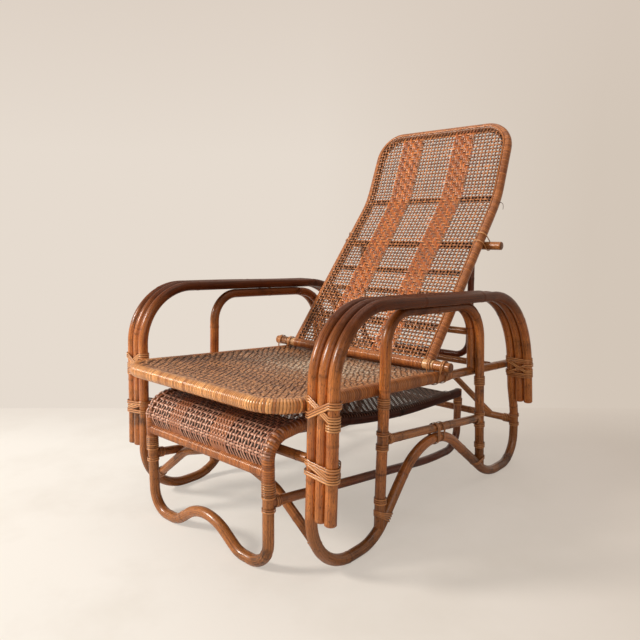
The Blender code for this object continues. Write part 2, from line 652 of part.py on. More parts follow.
rest_path = {}
for side, s in SIDES:
    rest_path[side] = in_side_view(
        s * REST_X, (REST_FRONT_Y, REST_SPLICE_Z), (REST_FRONT_Y, REST_KNUCKLE_Z, REST_KNUCKLE_BEND),
        (*REST_CREST, REST_CREST_BEND), (*REST_DIP, REST_DIP_BEND), REST_END)
    rail = pole(f"footrest_rail_{side}", rest_path[side], REST_R, footrest, BROWN)

    # The lower rail rides on the shoulder of the front brace
    (shoulder_x, shoulder_z) = FRONT_BRACE_SHOULDER
    brace_slope = (brace_foot_z - shoulder_z) / (ARM_X - shoulder_x)
    seat = shoulder_z + brace_slope * (REST_X - shoulder_x) + (2 * SLIM_R + GAP) * math.hypot(1, brace_slope)
    low = [(y, seat - REST_LOW_FALL * (y - FRONT_BRACE_Y)) for y in (REST_FRONT_Y, REST_LOW_BEND_Y)]
    lower = pole(f"footrest_lower_rail_{side}", in_side_view(
        s * REST_X, low[0], (*low[1], REST_LOW_EASE), (REST_END[0], REST_LOW_END_Z, REST_HEEL_BEND),
        (REST_END[0], REST_HEEL_TOP_Z)), SLIM_R, footrest, DARK)
    cope(rail, f"footrest_lower_rail_{side}")

bow = [(REST_X, REST_SPLICE_Z - GAP, 0), (BOW_TOE_X, SOLE_Z, BOW_TOE_BEND),
       (BOW_FLAT_X, SOLE_Z, BOW_FLAT_BEND), (0, BOW_CROWN_Z, BOW_CROWN_BEND)]
bow += [(-x, z, bend) for x, z, bend in reversed(bow[:-1])]
foot_bow = pole("footrest_foot_bow", bent(*(((x, REST_FRONT_Y, z), bend) for x, z, bend in bow)), POLE_R,
                footrest, TAN)
wear_flat(foot_bow)
for side, s in SIDES:
    cope(bpy.data.objects[f"footrest_lower_rail_{side}"], "footrest_foot_bow")

front_bar = pole("footrest_front_bar", across(REST_X, REST_FRONT_Y, REST_FRONT_BAR_Z), REST_FRONT_BAR_R,
                 footrest, HONEY)
rest_rear_z = height_at(rest_path["left"], REST_REAR_BAR_Y, first=False)
rear_bar = pole("footrest_rear_bar", across(REST_X, REST_REAR_BAR_Y, rest_rear_z), SLIM_R, footrest, DARK)
for bar in (front_bar, rear_bar):
    cope(bar, "footrest_rail_left", "footrest_rail_right")

profile = [p for p in rest_path["left"] if p.z > REST_FRONT_BAR_Z and p.y < REST_REAR_BAR_Y]
profile.insert(0, Vector((0, REST_FRONT_Y, REST_FRONT_BAR_Z + REST_FRONT_BAR_R + GAP)))
last_y = REST_REAR_BAR_Y - SLIM_R - GAP
profile.append(Vector((0, last_y, height_at(rest_path["left"], last_y, first=False))))
rows = []
for i, p in enumerate(profile):
    run = profile[min(i + 1, len(profile) - 1)] - profile[max(i - 1, 0)]
    x = REST_X - REST_R - GAP
    rows.append((Vector((-x, p.y, p.z)), Vector((x, p.y, p.z)), Vector((0, -run.z, run.y))))
put("footrest_panel", sheet_mesh(rows, CANE), footrest, CANE_TAN, 0.6)

# Lashings: strands wound round the joints

up = Vector((0, ARM_FRONT_LEAN, 1)).normalized()
rear_up = Vector((0, ARM_REAR[0] - ARM_REAR_CUT[0], ARM_REAR[1] - ARM_REAR_CUT[1])).normalized()
crossed = [(-0.5, 0), (LASH_LEVEL / LASH_PITCH, 0), (0.5, 0), (LASH_LEVEL / LASH_PITCH + 1, 0), (1.5, 1),
           (-LASH_LEVEL / LASH_PITCH - 1, 1), (2.5, 1), (-LASH_LEVEL / LASH_PITCH, 1), (3.5, 1)]
crossed = [(level * LASH_PITCH, layer) for level, layer in crossed]
bar_clear = SLIM_R + STRAND_R + LASH_SPREAD
banded = [(-bar_clear, 0), (-bar_clear, 0), (0, 0), (bar_clear, 0), (bar_clear, 0),
          (bar_clear + LASH_PITCH, 0), (bar_clear + LASH_PITCH, 0)]

for side, s in SIDES:
    outward = Vector((s, 0, 0))
    bar = Vector((1, 0, 0))
    span = 2 * ARM_PITCH

    rim_y = ARM_FRONT_LEAN * (seat_z(0) - ARM_CUT_Z)
    origin = Vector((s * ARM_X, rim_y, seat_z(rim_y)))
    winding(f"front_lashing_{side}", lash_poles(
        origin, outward, up.cross(Vector((1, 0, 0))), up, span, 0, crossed), chair)

    origin = Vector((s * ARM_X, crossbar_y - POLE_R - SLIM_R - GAP, CROSSBAR_Z))
    winding(f"crossbar_lashing_{side}", lash_poles(
        origin, outward, up.cross(Vector((1, 0, 0))), up, span, 2 * SLIM_R + GAP, banded), chair)

    rear_path = poles[f"arm_pole_outer_{side}"][0]
    rail_y = depth_at(rear_path, seat_z(ARM_REAR_CUT[0]))
    origin = Vector((s * ARM_X, rail_y, seat_z(rail_y)))
    winding(f"rear_lashing_{side}", lash_poles(
        origin, outward, rear_up.cross(Vector((1, 0, 0))), rear_up, span, 0, crossed), chair)

    rail = Vector((0, 1, -SEAT_FALL)).normalized()
    loop = lash_crossing(Vector((s * RIM_X, HINGE_Y, HINGE_Z)), bar, HINGE_BAR_R,
                         Vector((s * RIM_X, HINGE_Y, seat_z(HINGE_Y))), rail, RIM_R, 1)
    winding(f"hinge_loop_{side}", loop, chair)
    lace(seat_panel, loop)

    rail = Vector((0, math.sin(BACK_LEAN), math.cos(BACK_LEAN)))
    loop = lash_crossing(Vector((s * back_x(PEG_AT), PEG.y, PEG.z)), bar, PEG_R,
                         back_place(s * back_x(PEG_AT), PEG_AT), rail, BACK_R, 1)
    winding(f"peg_lashing_{side}", loop, backrest)
    lace(backrest_panel, loop)

    winding(f"prop_sling_{side}", lash_head(
        Vector((s * PROP_X, PEG.y, PEG.z)), outward, PEG_R, RUNG_R, PEG_R + RUNG_R + 2 * STRAND_R), prop)

print("hinge axis", tuple(round(v, 5) for v in backrest.matrix_world.translation))
print("peg axis", tuple(round(v, 5) for v in prop.matrix_world.translation))
print("crossbar axis", tuple(round(v, 5) for v in crossbar_axis.matrix_world.translation))
print("footrest runs up", round(REST_LOW_FALL, 4), "for each metre forward")
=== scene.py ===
import json
import math

import bpy
import numpy as np
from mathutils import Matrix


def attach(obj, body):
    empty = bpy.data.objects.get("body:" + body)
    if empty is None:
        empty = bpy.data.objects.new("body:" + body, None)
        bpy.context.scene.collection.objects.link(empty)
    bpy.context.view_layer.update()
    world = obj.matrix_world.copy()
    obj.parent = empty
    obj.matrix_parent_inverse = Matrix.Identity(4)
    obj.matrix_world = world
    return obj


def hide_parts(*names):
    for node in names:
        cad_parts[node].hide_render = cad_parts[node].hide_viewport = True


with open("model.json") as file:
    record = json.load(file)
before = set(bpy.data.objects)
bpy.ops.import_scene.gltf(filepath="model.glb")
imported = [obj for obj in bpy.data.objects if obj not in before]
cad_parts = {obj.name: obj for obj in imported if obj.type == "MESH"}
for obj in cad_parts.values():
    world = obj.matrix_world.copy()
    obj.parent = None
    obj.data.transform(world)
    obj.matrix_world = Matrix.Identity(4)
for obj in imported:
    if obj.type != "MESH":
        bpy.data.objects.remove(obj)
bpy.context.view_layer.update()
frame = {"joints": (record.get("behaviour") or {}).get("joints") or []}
joints = {joint["name"]: joint for joint in frame["joints"]}
draw = np.random.default_rng(7)          # every chance value below comes from here, in order

# Sizes are metres in the chair's own side view: y from the front foot of the arms, z from the floor
wood = {"pole": 0.0123, "slim": 0.0105, "rung": 0.0095, "rim": 0.0152, "bareRail": 0.0115, "gap": 0.0003}
poleR, slimR, rungR, rimR, bareR, gap = wood.values()
seat = {"front": (-0.0636, 0.3657), "fall": 0.0653, "corner": 0.075, "wrapEnd": 0.545, "railEnd": 0.892,
        "paleEnd": 0.075, "rearBar": 0.528, "rise": 0.004}
hinge = {"y": 0.496, "radius": 0.0132, "half": 0.3095}
shiftY = joints["recline"]["pos_m"][1] - hinge["y"]
sides = (("left", 1), ("right", -1))
sideways, lengthways, upright = (1, 0, 0), (0, 1, 0), (0, 0, 1)
pathStep = 0.004         # from point to point of a path
grainRun = 40            # pieces start anywhere along so much grain


def seatZ(y):
    return seat["front"][1] - seat["fall"] * (y - seat["front"][0])


def srgb(tone):
    # an 8-bit screen colour as linear light
    c = np.array(tone) / 255
    return (*np.where(c <= 0.04045, c / 12.92, ((c + 0.055) / 1.055) ** 2.4).tolist(), 1)


# Paths

def unit(v):
    v = np.asarray(v, float)
    return v / np.maximum(np.linalg.norm(v, axis=-1, keepdims=True), 1e-12)


def eased(t):
    return t * t * (3 - 2 * t)


def runOf(points):
    return np.concatenate([[0], np.cumsum(np.linalg.norm(np.diff(points, axis=0), axis=1))])


def evenly(points, step):
    # the same line with its points one step apart
    run = runOf(points)
    at = np.linspace(0, run[-1], max(2, int(round(run[-1] / step)) + 1))
    return np.stack([np.interp(at, run, points[:, k]) for k in range(3)], 1)


def bentPath(corners, step=pathStep):
    # straight runs joined by arcs; a corner is (point, bend radius)
    points = [np.array(corners[0][0], float)[None]]
    for (before, _), (corner, radius), (after, _) in zip(corners, corners[1:], corners[2:]):
        back, on = unit(np.subtract(before, corner)), unit(np.subtract(after, corner))
        turn = math.pi - math.acos(float(np.clip(back @ on, -1, 1)))
        inward = unit(back + on)
        centre = np.asarray(corner) + inward * radius / math.cos(turn / 2)
        angle = turn * (np.linspace(0, 1, max(4, int(4 * radius * turn / step)))[:, None] - 0.5)
        points.append(centre + radius * (unit(on - back) * np.sin(angle) - inward * np.cos(angle)))
    points.append(np.array(corners[-1][0], float)[None])
    return evenly(np.concatenate(points), step)


def mirrored(half, *crown):
    # bent the same way on both sides, with or without a corner in the middle
    return bentPath([*half, *crown, *((np.multiply(point, (-1, 1, 1)), bend) for point, bend in reversed(half))])


def sidePath(x, *corners):
    return bentPath([((x, y, z), bend[0] if bend else 0) for y, z, *bend in corners])


def straight(a, b):
    return evenly(np.array([a, b], float), pathStep)


def across(half, y, z):
    return straight((-half, y, z), (half, y, z))


def passing(path, axis, value, hit=-1):
    # z where a side path passes y (axis 1), or y where it passes z (axis 2): at its last crossing, or the first
    other = 3 - axis
    at = np.nonzero((path[:-1, axis] - value) * (path[1:, axis] - value) <= 0)[0][hit]
    a, b = path[at], path[at + 1]
    return a[other] + (b[other] - a[other]) * (value - a[axis]) / (b[axis] - a[axis])


# Meshes

def surface(name, body, finish, points, around, along, values, looped=False, replaces=()):
    # k bars of m rings of n points, each ring closed on itself; a looped bar also closes end to end
    points = np.asarray(points, float)
    k, m, n, _ = points.shape
    rings = m if looped else m - 1
    bar = np.arange(k)[:, None, None] * m * n
    i, j = np.arange(rings)[None, :, None], np.arange(n)[None, None, :]
    iNext, jNext = (i + 1) % m, (j + 1) % n
    quads = np.stack(np.broadcast_arrays(bar + i * n + j, bar + i * n + jNext, bar + iNext * n + jNext,
                                         bar + iNext * n + j), -1).reshape(-1, 4)
    u = np.stack([around[:-1], around[1:], around[1:], around[:-1]], -1)[None, None]
    v = np.stack([along[:, :rings], along[:, :rings], along[:, 1:rings + 1], along[:, 1:rings + 1]], -1)
    uv = np.stack(np.broadcast_arrays(u, v[:, :, None]), -1).reshape(-1, 2)
    faces = quads.tolist()
    if not looped:
        first = np.arange(k)[:, None] * m * n + np.arange(n)[::-1]
        last = np.arange(k)[:, None] * m * n + (m - 1) * n + np.arange(n)
        faces += np.concatenate([first, last]).tolist()
        ends = np.broadcast_to(around[None, :-1, None] * (1, 1), (2 * k, n, 2))
        uv = np.concatenate([uv, ends.reshape(-1, 2)])
    spots = points.reshape(-1, 3) + (0, shiftY, 0)
    spots[:, 2] = np.maximum(spots[:, 2], 0)         # poles are worn flat where they stand
    mesh = bpy.data.meshes.new(name)
    mesh.from_pydata(spots.tolist(), [], faces)
    mesh.uv_layers.new(name="grain").data.foreach_set("uv", uv.ravel())
    for key, value in values.items():
        layer = mesh.attributes.new(key, "FLOAT", "POINT")
        layer.data.foreach_set("value", np.broadcast_to(value, (k, m, n)).astype(np.float32).ravel())
    mesh.materials.append(finish)
    mesh.shade_smooth()
    mesh.set_sharp_from_angle(angle=math.radians(60))
    obj = bpy.data.objects.new(name, mesh)
    bpy.context.scene.collection.objects.link(obj)
    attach(obj, body)
    if replaces:
        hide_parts(*replaces)


def framesOf(path, towards, looped=False):
    # tangent, normal and side of a path, the normal kept as near a given direction as it goes
    if looped:
        tangent = unit(np.roll(path, -1, axis=-2) - np.roll(path, 1, axis=-2))
    else:
        tangent = unit(np.gradient(path, axis=-2))
    towards = np.broadcast_to(np.asarray(towards, float), path.shape)
    normal = unit(towards - (towards * tangent).sum(-1, keepdims=True) * tangent)
    return tangent, normal, np.cross(tangent, normal)


def ringsOf(normal, side, count):
    # angles round a pole, the first again at the end, and the way out of the pole at each
    turn = np.linspace(0, 2 * math.pi, count + 1)
    cos, sin = np.cos(turn[:-1])[:, None], np.sin(turn[:-1])[:, None]
    return turn, normal[:, None] * cos + side[:, None] * sin


rattan = {"nodeEvery": (0.17, 0.34), "firstNode": 0.2, "lastNode": 0.03, "swell": 0.045, "nodeWidth": 0.0035,
          "neckAt": 2.2, "neck": 0.4, "crook": 0.0004, "waves": (9, 17), "fade": 0.08, "sides": 20,
          "chamfer": 0.0014, "cutSize": 0.88}


def pole(name, body, finish, slotName, path, radius, towards, replaces=None, looped=False):
    # P(s, t) = C(s) + r(s) (N cos t + B sin t), where r swells at each node of the cane
    if not looped:
        lead = unit(path[1] - path[0]) * rattan["chamfer"]
        tail = unit(path[-2] - path[-1]) * rattan["chamfer"]
        path = np.concatenate([path[:1], path[:1] + lead, path[1:-1], path[-1:] + tail, path[-1:]])
    _, normal, side = framesOf(path, towards, looped)
    run = runOf(path)
    spots = np.cumsum(draw.uniform(*rattan["nodeEvery"], 16)) - draw.uniform(0, rattan["firstNode"])
    width = rattan["nodeWidth"]
    away = run[:, None] - spots[spots < run[-1] - rattan["lastNode"]]
    ring = np.exp(-(away / width) ** 2).sum(1)
    neck = np.exp(-((away + rattan["neckAt"] * width) / width) ** 2).sum(1)
    wave, phase = draw.uniform(*rattan["waves"], 2), draw.uniform(0, 6, 2)
    fade = np.minimum(1, np.minimum(run, run[-1] - run) / rattan["fade"])[:, None]
    crook = rattan["crook"] * np.sin(run[:, None] * wave + phase) * fade
    centre = path + normal * crook[:, :1] + side * crook[:, 1:]
    size = radius * (1 + rattan["swell"] * ring - rattan["neck"] * rattan["swell"] * neck)
    cut = np.zeros(len(path))
    if not looped:
        size[[0, -1]] *= rattan["cutSize"]
        cut[[0, -1]] = 1
    turn, spread = ringsOf(normal, side, rattan["sides"])
    points = centre[:, None] + size[:, None, None] * spread
    along = np.append(run, run[-1] + pathStep) if looped else run
    surface(name, body, finish, points[None], turn * radius, along[None] + draw.uniform(0, grainRun),
            {"ring": ring[:, None], "cut": cut[:, None]}, looped, (name,) if replaces is None else replaces)


wrap = {"sides": 20, "perTurn": 7, "groove": 0.0012, "sharp": 5, "uneven": 0.0003, "hidden": 0.9,
        "under": (-0.4, -0.6)}


def wrapped(name, body, finish, path, radius, towards, pitch, replaces=None, covered=False):
    # r(s, t) = R - g |2 f - 1|^p, where f is the part of a turn of s / pitch + t / 2 pi;
    # the quarter that woven cane covers gets painted shade, so the holes of the cane over it look dark
    path = evenly(path, pitch / wrap["perTurn"])
    _, normal, side = framesOf(path, towards)
    run = runOf(path)
    turn, spread = ringsOf(normal, side, wrap["sides"])
    phase = run[:, None] / pitch + turn[None, :-1] / (2 * math.pi)
    groove = np.abs(2 * (phase % 1) - 1) ** wrap["sharp"]
    tones = draw.uniform(0, 1, int(run[-1] / pitch) + 3)
    tone = tones[np.floor(phase).astype(int)]
    lift = wrap["uneven"] * (tone - 0.5)
    # painted shade on the covered quarter of the pole
    under = (np.sin(turn[:-1]) < wrap["under"][0]) & (np.cos(turn[:-1]) > wrap["under"][1])
    points = path[:, None] + (radius - wrap["groove"] * groove + lift)[..., None] * spread
    surface(name, body, finish, points[None], turn * radius, run[None] + draw.uniform(0, grainRun),
            {"groove": groove, "tone": tone, "stripe": 0.0, "low": covered * wrap["hidden"] * under}, False,
            (name,) if replaces is None else replaces)


# six points round a flat strand: across it, through it, dirt and painted shade at its edges, and which lie on its
# back, where it takes painted shade against the strand below
ribbon = {"flat": (-0.5, -0.3, 0.3, 0.5, 0.3, -0.3), "tall": (0.0, 0.5, 0.5, 0.0, -0.5, -0.5),
          "edge": (1.0, 0.15, 0.15, 1.0, 0.3, 0.3), "back": (0, 0, 0, 0, 1, 1), "girth": 2.4}


def strands(name, body, finish, path, towards, width, thick, looped=True, replaces=(), values=None):
    # k flat strands of m points each, their flat side towards a given direction
    k = len(path)
    _, normal, side = framesOf(path, towards, looped)
    flat, tall = (np.array(ribbon[key])[:, None] for key in ("flat", "tall"))
    wide = np.broadcast_to(np.asarray(width, float), k)[:, None, None, None]
    points = path[:, :, None] + side[:, :, None] * flat * -wide + normal[:, :, None] * tall * thick
    steps = np.linalg.norm(np.diff(path, axis=1), axis=2)
    run = np.concatenate([np.zeros((k, 1)), np.cumsum(steps, 1)], 1)
    if looped:
        run = np.concatenate([run, run[:, -1:] + pathStep], 1)
    given = {"groove": ribbon["edge"], "tone": draw.uniform(0, 1, (k, 1, 1)), "low": 0.0, "stripe": 0.0}
    given.update(values or {})
    around = np.linspace(0, ribbon["girth"], 7) * float(np.mean(width))
    surface(name, body, finish, points, around, run + draw.uniform(0, grainRun, (k, 1)), given, looped,
            replaces)


# Finishes

class Wire:
    # a socket that does arithmetic: every operator adds one Math node
    def __init__(self, tree, socket):
        self.tree, self.socket = tree, socket

    def maths(self, operation, *values):
        node = self.tree.nodes.new("ShaderNodeMath")
        node.operation = operation
        for socket, value in zip(node.inputs, values):
            plug(self.tree, socket, value)
        return Wire(self.tree, node.outputs[0])

    __add__ = __radd__ = lambda self, other: self.maths("ADD", self, other)
    __mul__ = __rmul__ = lambda self, other: self.maths("MULTIPLY", self, other)
    __sub__ = lambda self, other: self.maths("SUBTRACT", self, other)
    __rsub__ = lambda self, other: self.maths("SUBTRACT", other, self)

    def clip(self, low, high):
        # 0 at low, 1 at high, held at both ends
        share = (self - low) * (1 / (high - low))
        return share.maths("MINIMUM", share.maths("MAXIMUM", share, 0), 1)


def plug(tree, socket, value):
    if isinstance(value, Wire):
        tree.links.new(value.socket, socket)
    else:
        socket.default_value = value


class Nodes:
    def __init__(self, tree):
        self.tree = tree

    def node(self, kind, settings, sockets, out=0):
        node = self.tree.nodes.new(kind)
        for key, value in settings.items():
            setattr(node, key, value)
        for key, value in sockets.items():
            plug(self.tree, node.inputs[key], value)
        return Wire(self.tree, node.outputs[out])

    def attribute(self, name):
        return self.node("ShaderNodeAttribute", {"attribute_name": name}, {}, "Fac")

    def noise(self, where, scale, detail, rough, stretch=(1, 1, 1)):
        spread = self.node("ShaderNodeMapping", {}, {"Vector": where, "Scale": stretch})
        return self.node("ShaderNodeTexNoise", {}, {"Vector": spread, "Scale": scale, "Detail": detail,
                                                    "Roughness": rough}, "Fac")

    def blend(self, share, a, b):
        return self.node("ShaderNodeMix", {"data_type": "RGBA"}, {0: share, 6: a, 7: b}, 2)

    def place(self, kind="Object"):
        return self.node("ShaderNodeTexCoord", {}, {}, kind)

    def parts(self, place):
        return [self.node("ShaderNodeSeparateXYZ", {}, {0: place}, axis) for axis in range(3)]

    def cameraRay(self):
        return self.node("ShaderNodeLightPath", {}, {}, "Is Camera Ray")


class Finish(Nodes):
    def __init__(self, name, coat=0.0, coatRough=0.2, specular=0.5):
        self.material = bpy.data.materials.new(name)
        self.material.use_nodes = True
        super().__init__(self.material.node_tree)
        self.shader = self.tree.nodes["Principled BSDF"]
        self.set({"Coat Weight": coat, "Coat Roughness": coatRough, "Specular IOR Level": specular,
                  "Specular Tint": srgb((255, 222, 190))})

    def set(self, sockets):
        for key, value in sockets.items():
            plug(self.tree, self.shader.inputs[key], value)

    def grain(self):
        return self.node("ShaderNodeUVMap", {"uv_map": "grain"}, {})

    def done(self, colour, rough, height, distance):
        bump = self.node("ShaderNodeBump", {}, {"Height": height, "Distance": distance, "Strength": 0.8})
        self.set({"Base Color": colour, "Roughness": rough, "Normal": bump})
        return self.material


# noises: scale, detail, roughness, and how fine across and along the grain; pairs: where a tone starts and is full
varnish = {"streak": (1, 3, 0.6, (420, 6, 1)), "fine": (1, 2, 0.6, (1500, 30, 1)), "blotch": (11, 4, 0.6),
           "fleck": (1, 1, 0.5, (600, 130, 1)), "paleFrom": (0.48, 0.84), "deepFrom": (0.67, 0.88),
           "fleckFrom": (0.58, 0.70), "ringFrom": (0.2, 1.0), "footRagged": 0.08, "darkRagged": (0.10, 0.05),
           "coatRough": 0.24, "relief": 0.0005}


def rattanFinish(name, pale, mid, deep, darkFrom=None, footTo=None, coat=0.6, specular=0.2):
    # varnished cane: long streaks and blotches between three tones, dark scars at the nodes; an arm is
    # dark above one height and a foot has its own tones below another: (from, to, tone, tone)
    pale, mid, deep = srgb(pale), srgb(mid), srgb(deep)
    finish = Finish(name, coat, varnish["coatRough"], specular)
    grain, place = finish.grain(), finish.place()
    streak, fine, fleck = (finish.noise(grain, *varnish[key]) for key in ("streak", "fine", "fleck"))
    fleck = fleck.clip(*varnish["fleckFrom"])
    blotch = finish.noise(place, *varnish["blotch"])
    ring, cut = finish.attribute("ring"), finish.attribute("cut")
    height = finish.parts(place)[2]
    colour = finish.blend((streak * 0.75 + blotch * 0.6).clip(*varnish["paleFrom"]), mid, pale)
    if footTo:
        ragged = varnish["footRagged"]
        worn = (height + blotch * ragged).clip(footTo[0] + ragged / 2, footTo[1] + ragged / 2)
        foot = finish.blend(streak.clip(0.3, 0.7), srgb(footTo[2]), srgb(footTo[3]))
        colour = finish.blend(worn, foot, colour)
    colour = finish.blend((blotch * 0.9 + fine * 0.45).clip(*varnish["deepFrom"]), colour, deep)
    colour = finish.blend(fleck * 0.7, colour, deep)
    colour = finish.blend((ring * 0.6).clip(*varnish["ringFrom"]), colour, deep)
    if darkFrom:
        blotched, streaked = varnish["darkRagged"]
        mean = (blotched + streaked) / 2
        worn = (height + blotch * blotched + streak * streaked).clip(darkFrom[0] + mean, darkFrom[1] + mean)
        dark = finish.blend(streak.clip(0.3, 0.75), srgb(darkFrom[2]), srgb(darkFrom[3]))
        colour = finish.blend(worn * 0.94, colour, dark)
        finish.set({"Coat Weight": coat * (1 - worn * 0.88)})
    colour = finish.blend(cut * 0.7, colour, finish.blend(fine, deep, mid))
    rough = 0.30 + streak * 0.14 + ring * 0.15 + cut * 0.3
    return finish.done(colour, rough, streak * 0.5 + fine * 0.3 - fleck * 0.4, varnish["relief"])


splitCane = {"fibre": (1, 2, 0.6, (1100, 18, 1)), "along": (1, 1, 0.5, (6, 26, 1)), "patch": (14, 3, 0.6),
             "paleFrom": (0.42, 1.12), "dirtFrom": 0.22, "coat": 0.3, "relief": 0.0003}


def caneFinish(name, pale, mid, deep, stripe, roughness, grooveDirtAndShade=0.55, hollow=0.5):
    # split cane: each strand has its own tone, fine fibres run along it, and dirt and painted shade darken its
    # grooves and edges and where it lies low
    finish = Finish(name, splitCane["coat"])
    grain, place = finish.grain(), finish.place()
    fibre, along = (finish.noise(grain, *splitCane[key]) for key in ("fibre", "along"))
    patch = finish.noise(place, *splitCane["patch"])
    tone, groove, low, banded = (finish.attribute(key) for key in ("tone", "groove", "low", "stripe"))
    share = (tone * 0.6 + along * 0.5 + patch * 0.4 + fibre * 0.15).clip(*splitCane["paleFrom"])
    colour = finish.blend(share, srgb(mid), srgb(pale))
    colour = finish.blend(banded, colour, finish.blend(share, *map(srgb, stripe)))
    # dirt and painted shade together: the groove attribute darkens grooves and strand edges, and the low attribute,
    # scaled by hollow, holds painted shade where strands pass under others, on covered poles and under the seat,
    # plus random grit, and is lowered on the pale floats of the backrest's stripes
    dirtAndShade = (groove * grooveDirtAndShade + low * hollow + patch * 0.4 - splitCane["dirtFrom"]).clip(0.0, 1.0)
    colour = finish.blend(dirtAndShade, colour, srgb(deep))
    return finish.done(colour, roughness + fibre * 0.15 + low * 0.1, fibre * 0.5 + along * 0.3,
                       splitCane["relief"])


# screen colours, pale to deep, and what rattanFinish takes after them
poleTones = {
    "arm": ((228, 138, 64), (126, 57, 20), (44, 18, 8), (0.42, 0.535, (36, 12, 5), (98, 42, 19)),
            (0.09, 0.20, (122, 70, 32), (160, 98, 48)), 0.75, 0.14),
    "leg": ((202, 128, 68), (112, 59, 26), (44, 20, 9)),
    "red": ((122, 57, 28), (88, 37, 17), (38, 16, 8)),
    "rail": ((178, 110, 62), (132, 74, 40), (50, 24, 13), None, (0.112, 0.136, (84, 36, 21), (122, 58, 34))),
    "dark": ((82, 36, 23), (48, 19, 12), (20, 8, 5), None, None, 0.04, 0.12),
    "bare": ((232, 182, 128), (204, 144, 90), (120, 68, 38))}
armFinish, legFinish, redFinish, railFinish, darkFinish, bareFinish = (
    rattanFinish(f"{name} rattan", *values) for name, values in poleTones.items())
# screen colours, pale to deep, the two of a stripe, roughness, and how much dirt and painted shade lie in the
# grooves and the hollows
plainBand = ((190, 112, 56), (214, 140, 82))
caneTones = {
    "honey": ((238, 168, 102), (148, 80, 36), (34, 15, 7), plainBand, 0.22, 1.15),
    "rim": ((190, 112, 55), (127, 66, 31), (40, 18, 9), plainBand, 0.26, 0.9),
    "lash": ((230, 160, 98), (186, 112, 60), (42, 19, 9), plainBand, 0.26, 1.0),
    "side": ((182, 108, 52), (118, 64, 30), (36, 16, 8), plainBand, 0.32, 0.8),
    "tie": ((214, 142, 84), (150, 86, 44), (40, 18, 9), plainBand, 0.28, 1.0),
    "back": ((204, 122, 60), (114, 56, 23), (24, 10, 5), ((132, 52, 12), (224, 122, 50)), 0.34, 1.05, 0.65),
    # the seat's stripe is its worn patch: rubbed paler, with near-white specks of painted light
    "seat": ((228, 155, 98), (106, 54, 28), (13, 5, 3), ((190, 142, 98), (255, 236, 208)), 0.28, 1.15, 0.95),
    "footrest": ((226, 166, 136), (164, 100, 74), (44, 20, 14), ((164, 90, 54), (214, 138, 94)), 0.30, 0.75),
    "dark": ((60, 34, 24), (44, 24, 18), (26, 14, 10), plainBand, 0.6)}
honeyCane, rimCane, lashCane, sideCane, tieCane, backCane, seatCane, restCane, darkCane = (
    caneFinish(f"{name} cane", *values) for name, values in caneTones.items())
redArm = ("frame", armFinish, "red_brown_rattan")
tanLeg = ("frame", legFinish, "tan_rattan")
print("finishes made")

# Side frames

arm = {"x": 0.298, "pitch": 2 * poleR + 2 * gap, "cutZ": 0.141, "frontLean": 0.0347, "frontZ": 0.5545,
       "frontBend": 0.145, "rear": (0.8263, 0.5215), "rearBend": 0.235, "rearCut": (0.8736, 0.2)}
footRail = {"soleZ": poleR - 0.001, "toe": (-0.004, 0.125), "instep": (0.204, 0.1075),
            "wave": (0.4136, 0.251, 0.17), "backstep": (0.7298, 0.17), "heel": (0.896, 0.075),
            "knee": (0.896, 0.15, 0.25), "join": (0.24, 0.15)}
arch = {"footY": 0.2226, "frontY": 0.24, "rearY": 0.652, "heelY": 0.6855, "frontBend": 0.075, "rearBend": 0.105,
        "rackTop": 0.555, "lowerFall": 0.12}
armX, pitch = arm["x"], arm["pitch"]
rearY, rearZ = arm["rear"]
armCut = (0, arm["cutZ"])
armFrontY = arm["frontLean"] * (arm["frontZ"] - arm["cutZ"])
armRearLean = (arm["rearCut"][0] - rearY) / (arm["rearCut"][1] - rearZ)
joinY = rearY + armRearLean * (footRail["join"][0] - rearZ)
rimX, bareX = (armX - poleR - radius - gap for radius in (rimR, bareR))
rackX = armX - 2 * poleR - gap


def onSole(name):
    return footRail[name][0], footRail["soleZ"], footRail[name][1]


armRun = [(armFrontY, arm["frontZ"], arm["frontBend"]), (rearY, rearZ, arm["rearBend"])]
soleRun = [onSole("toe"), onSole("instep"), footRail["wave"], onSole("backstep"), onSole("heel"), footRail["knee"],
           (joinY, *footRail["join"])]
armSide = sidePath(0, armCut, *armRun, arm["rearCut"])
soleSide = sidePath(0, armCut, *soleRun, arm["rear"])
armFall = (rearZ - arm["frontZ"]) / (rearY - armFrontY)
under = (2 * poleR + gap) * math.hypot(1, armFall)
archTop, archBack, rackTop = (arm["frontZ"] + armFall * (y - armFrontY) - under
                              for y in (arch["frontY"], arch["rearY"], arch["rackTop"]))
archFoot, archHeel = (passing(soleSide, 1, arch[key], 0) for key in ("footY", "heelY"))
hill = soleSide[(soleSide[:, 1] > footRail["instep"][0]) & (soleSide[:, 1] < footRail["backstep"][0])]
crest = hill[np.argmax(hill[:, 2] + hill[:, 1] * arch["lowerFall"])]
lowerLift = (poleR + slimR + gap) * math.hypot(1, arch["lowerFall"])


def lowerZ(y):
    return crest[2] + lowerLift - arch["lowerFall"] * (y - crest[1])


def archLegY(z, rear=False):
    if rear:
        return arch["heelY"] + (arch["rearY"] - arch["heelY"]) * (z - archHeel) / (archBack - archHeel)
    return arch["footY"] + (arch["frontY"] - arch["footY"]) * (z - archFoot) / (archTop - archFoot)


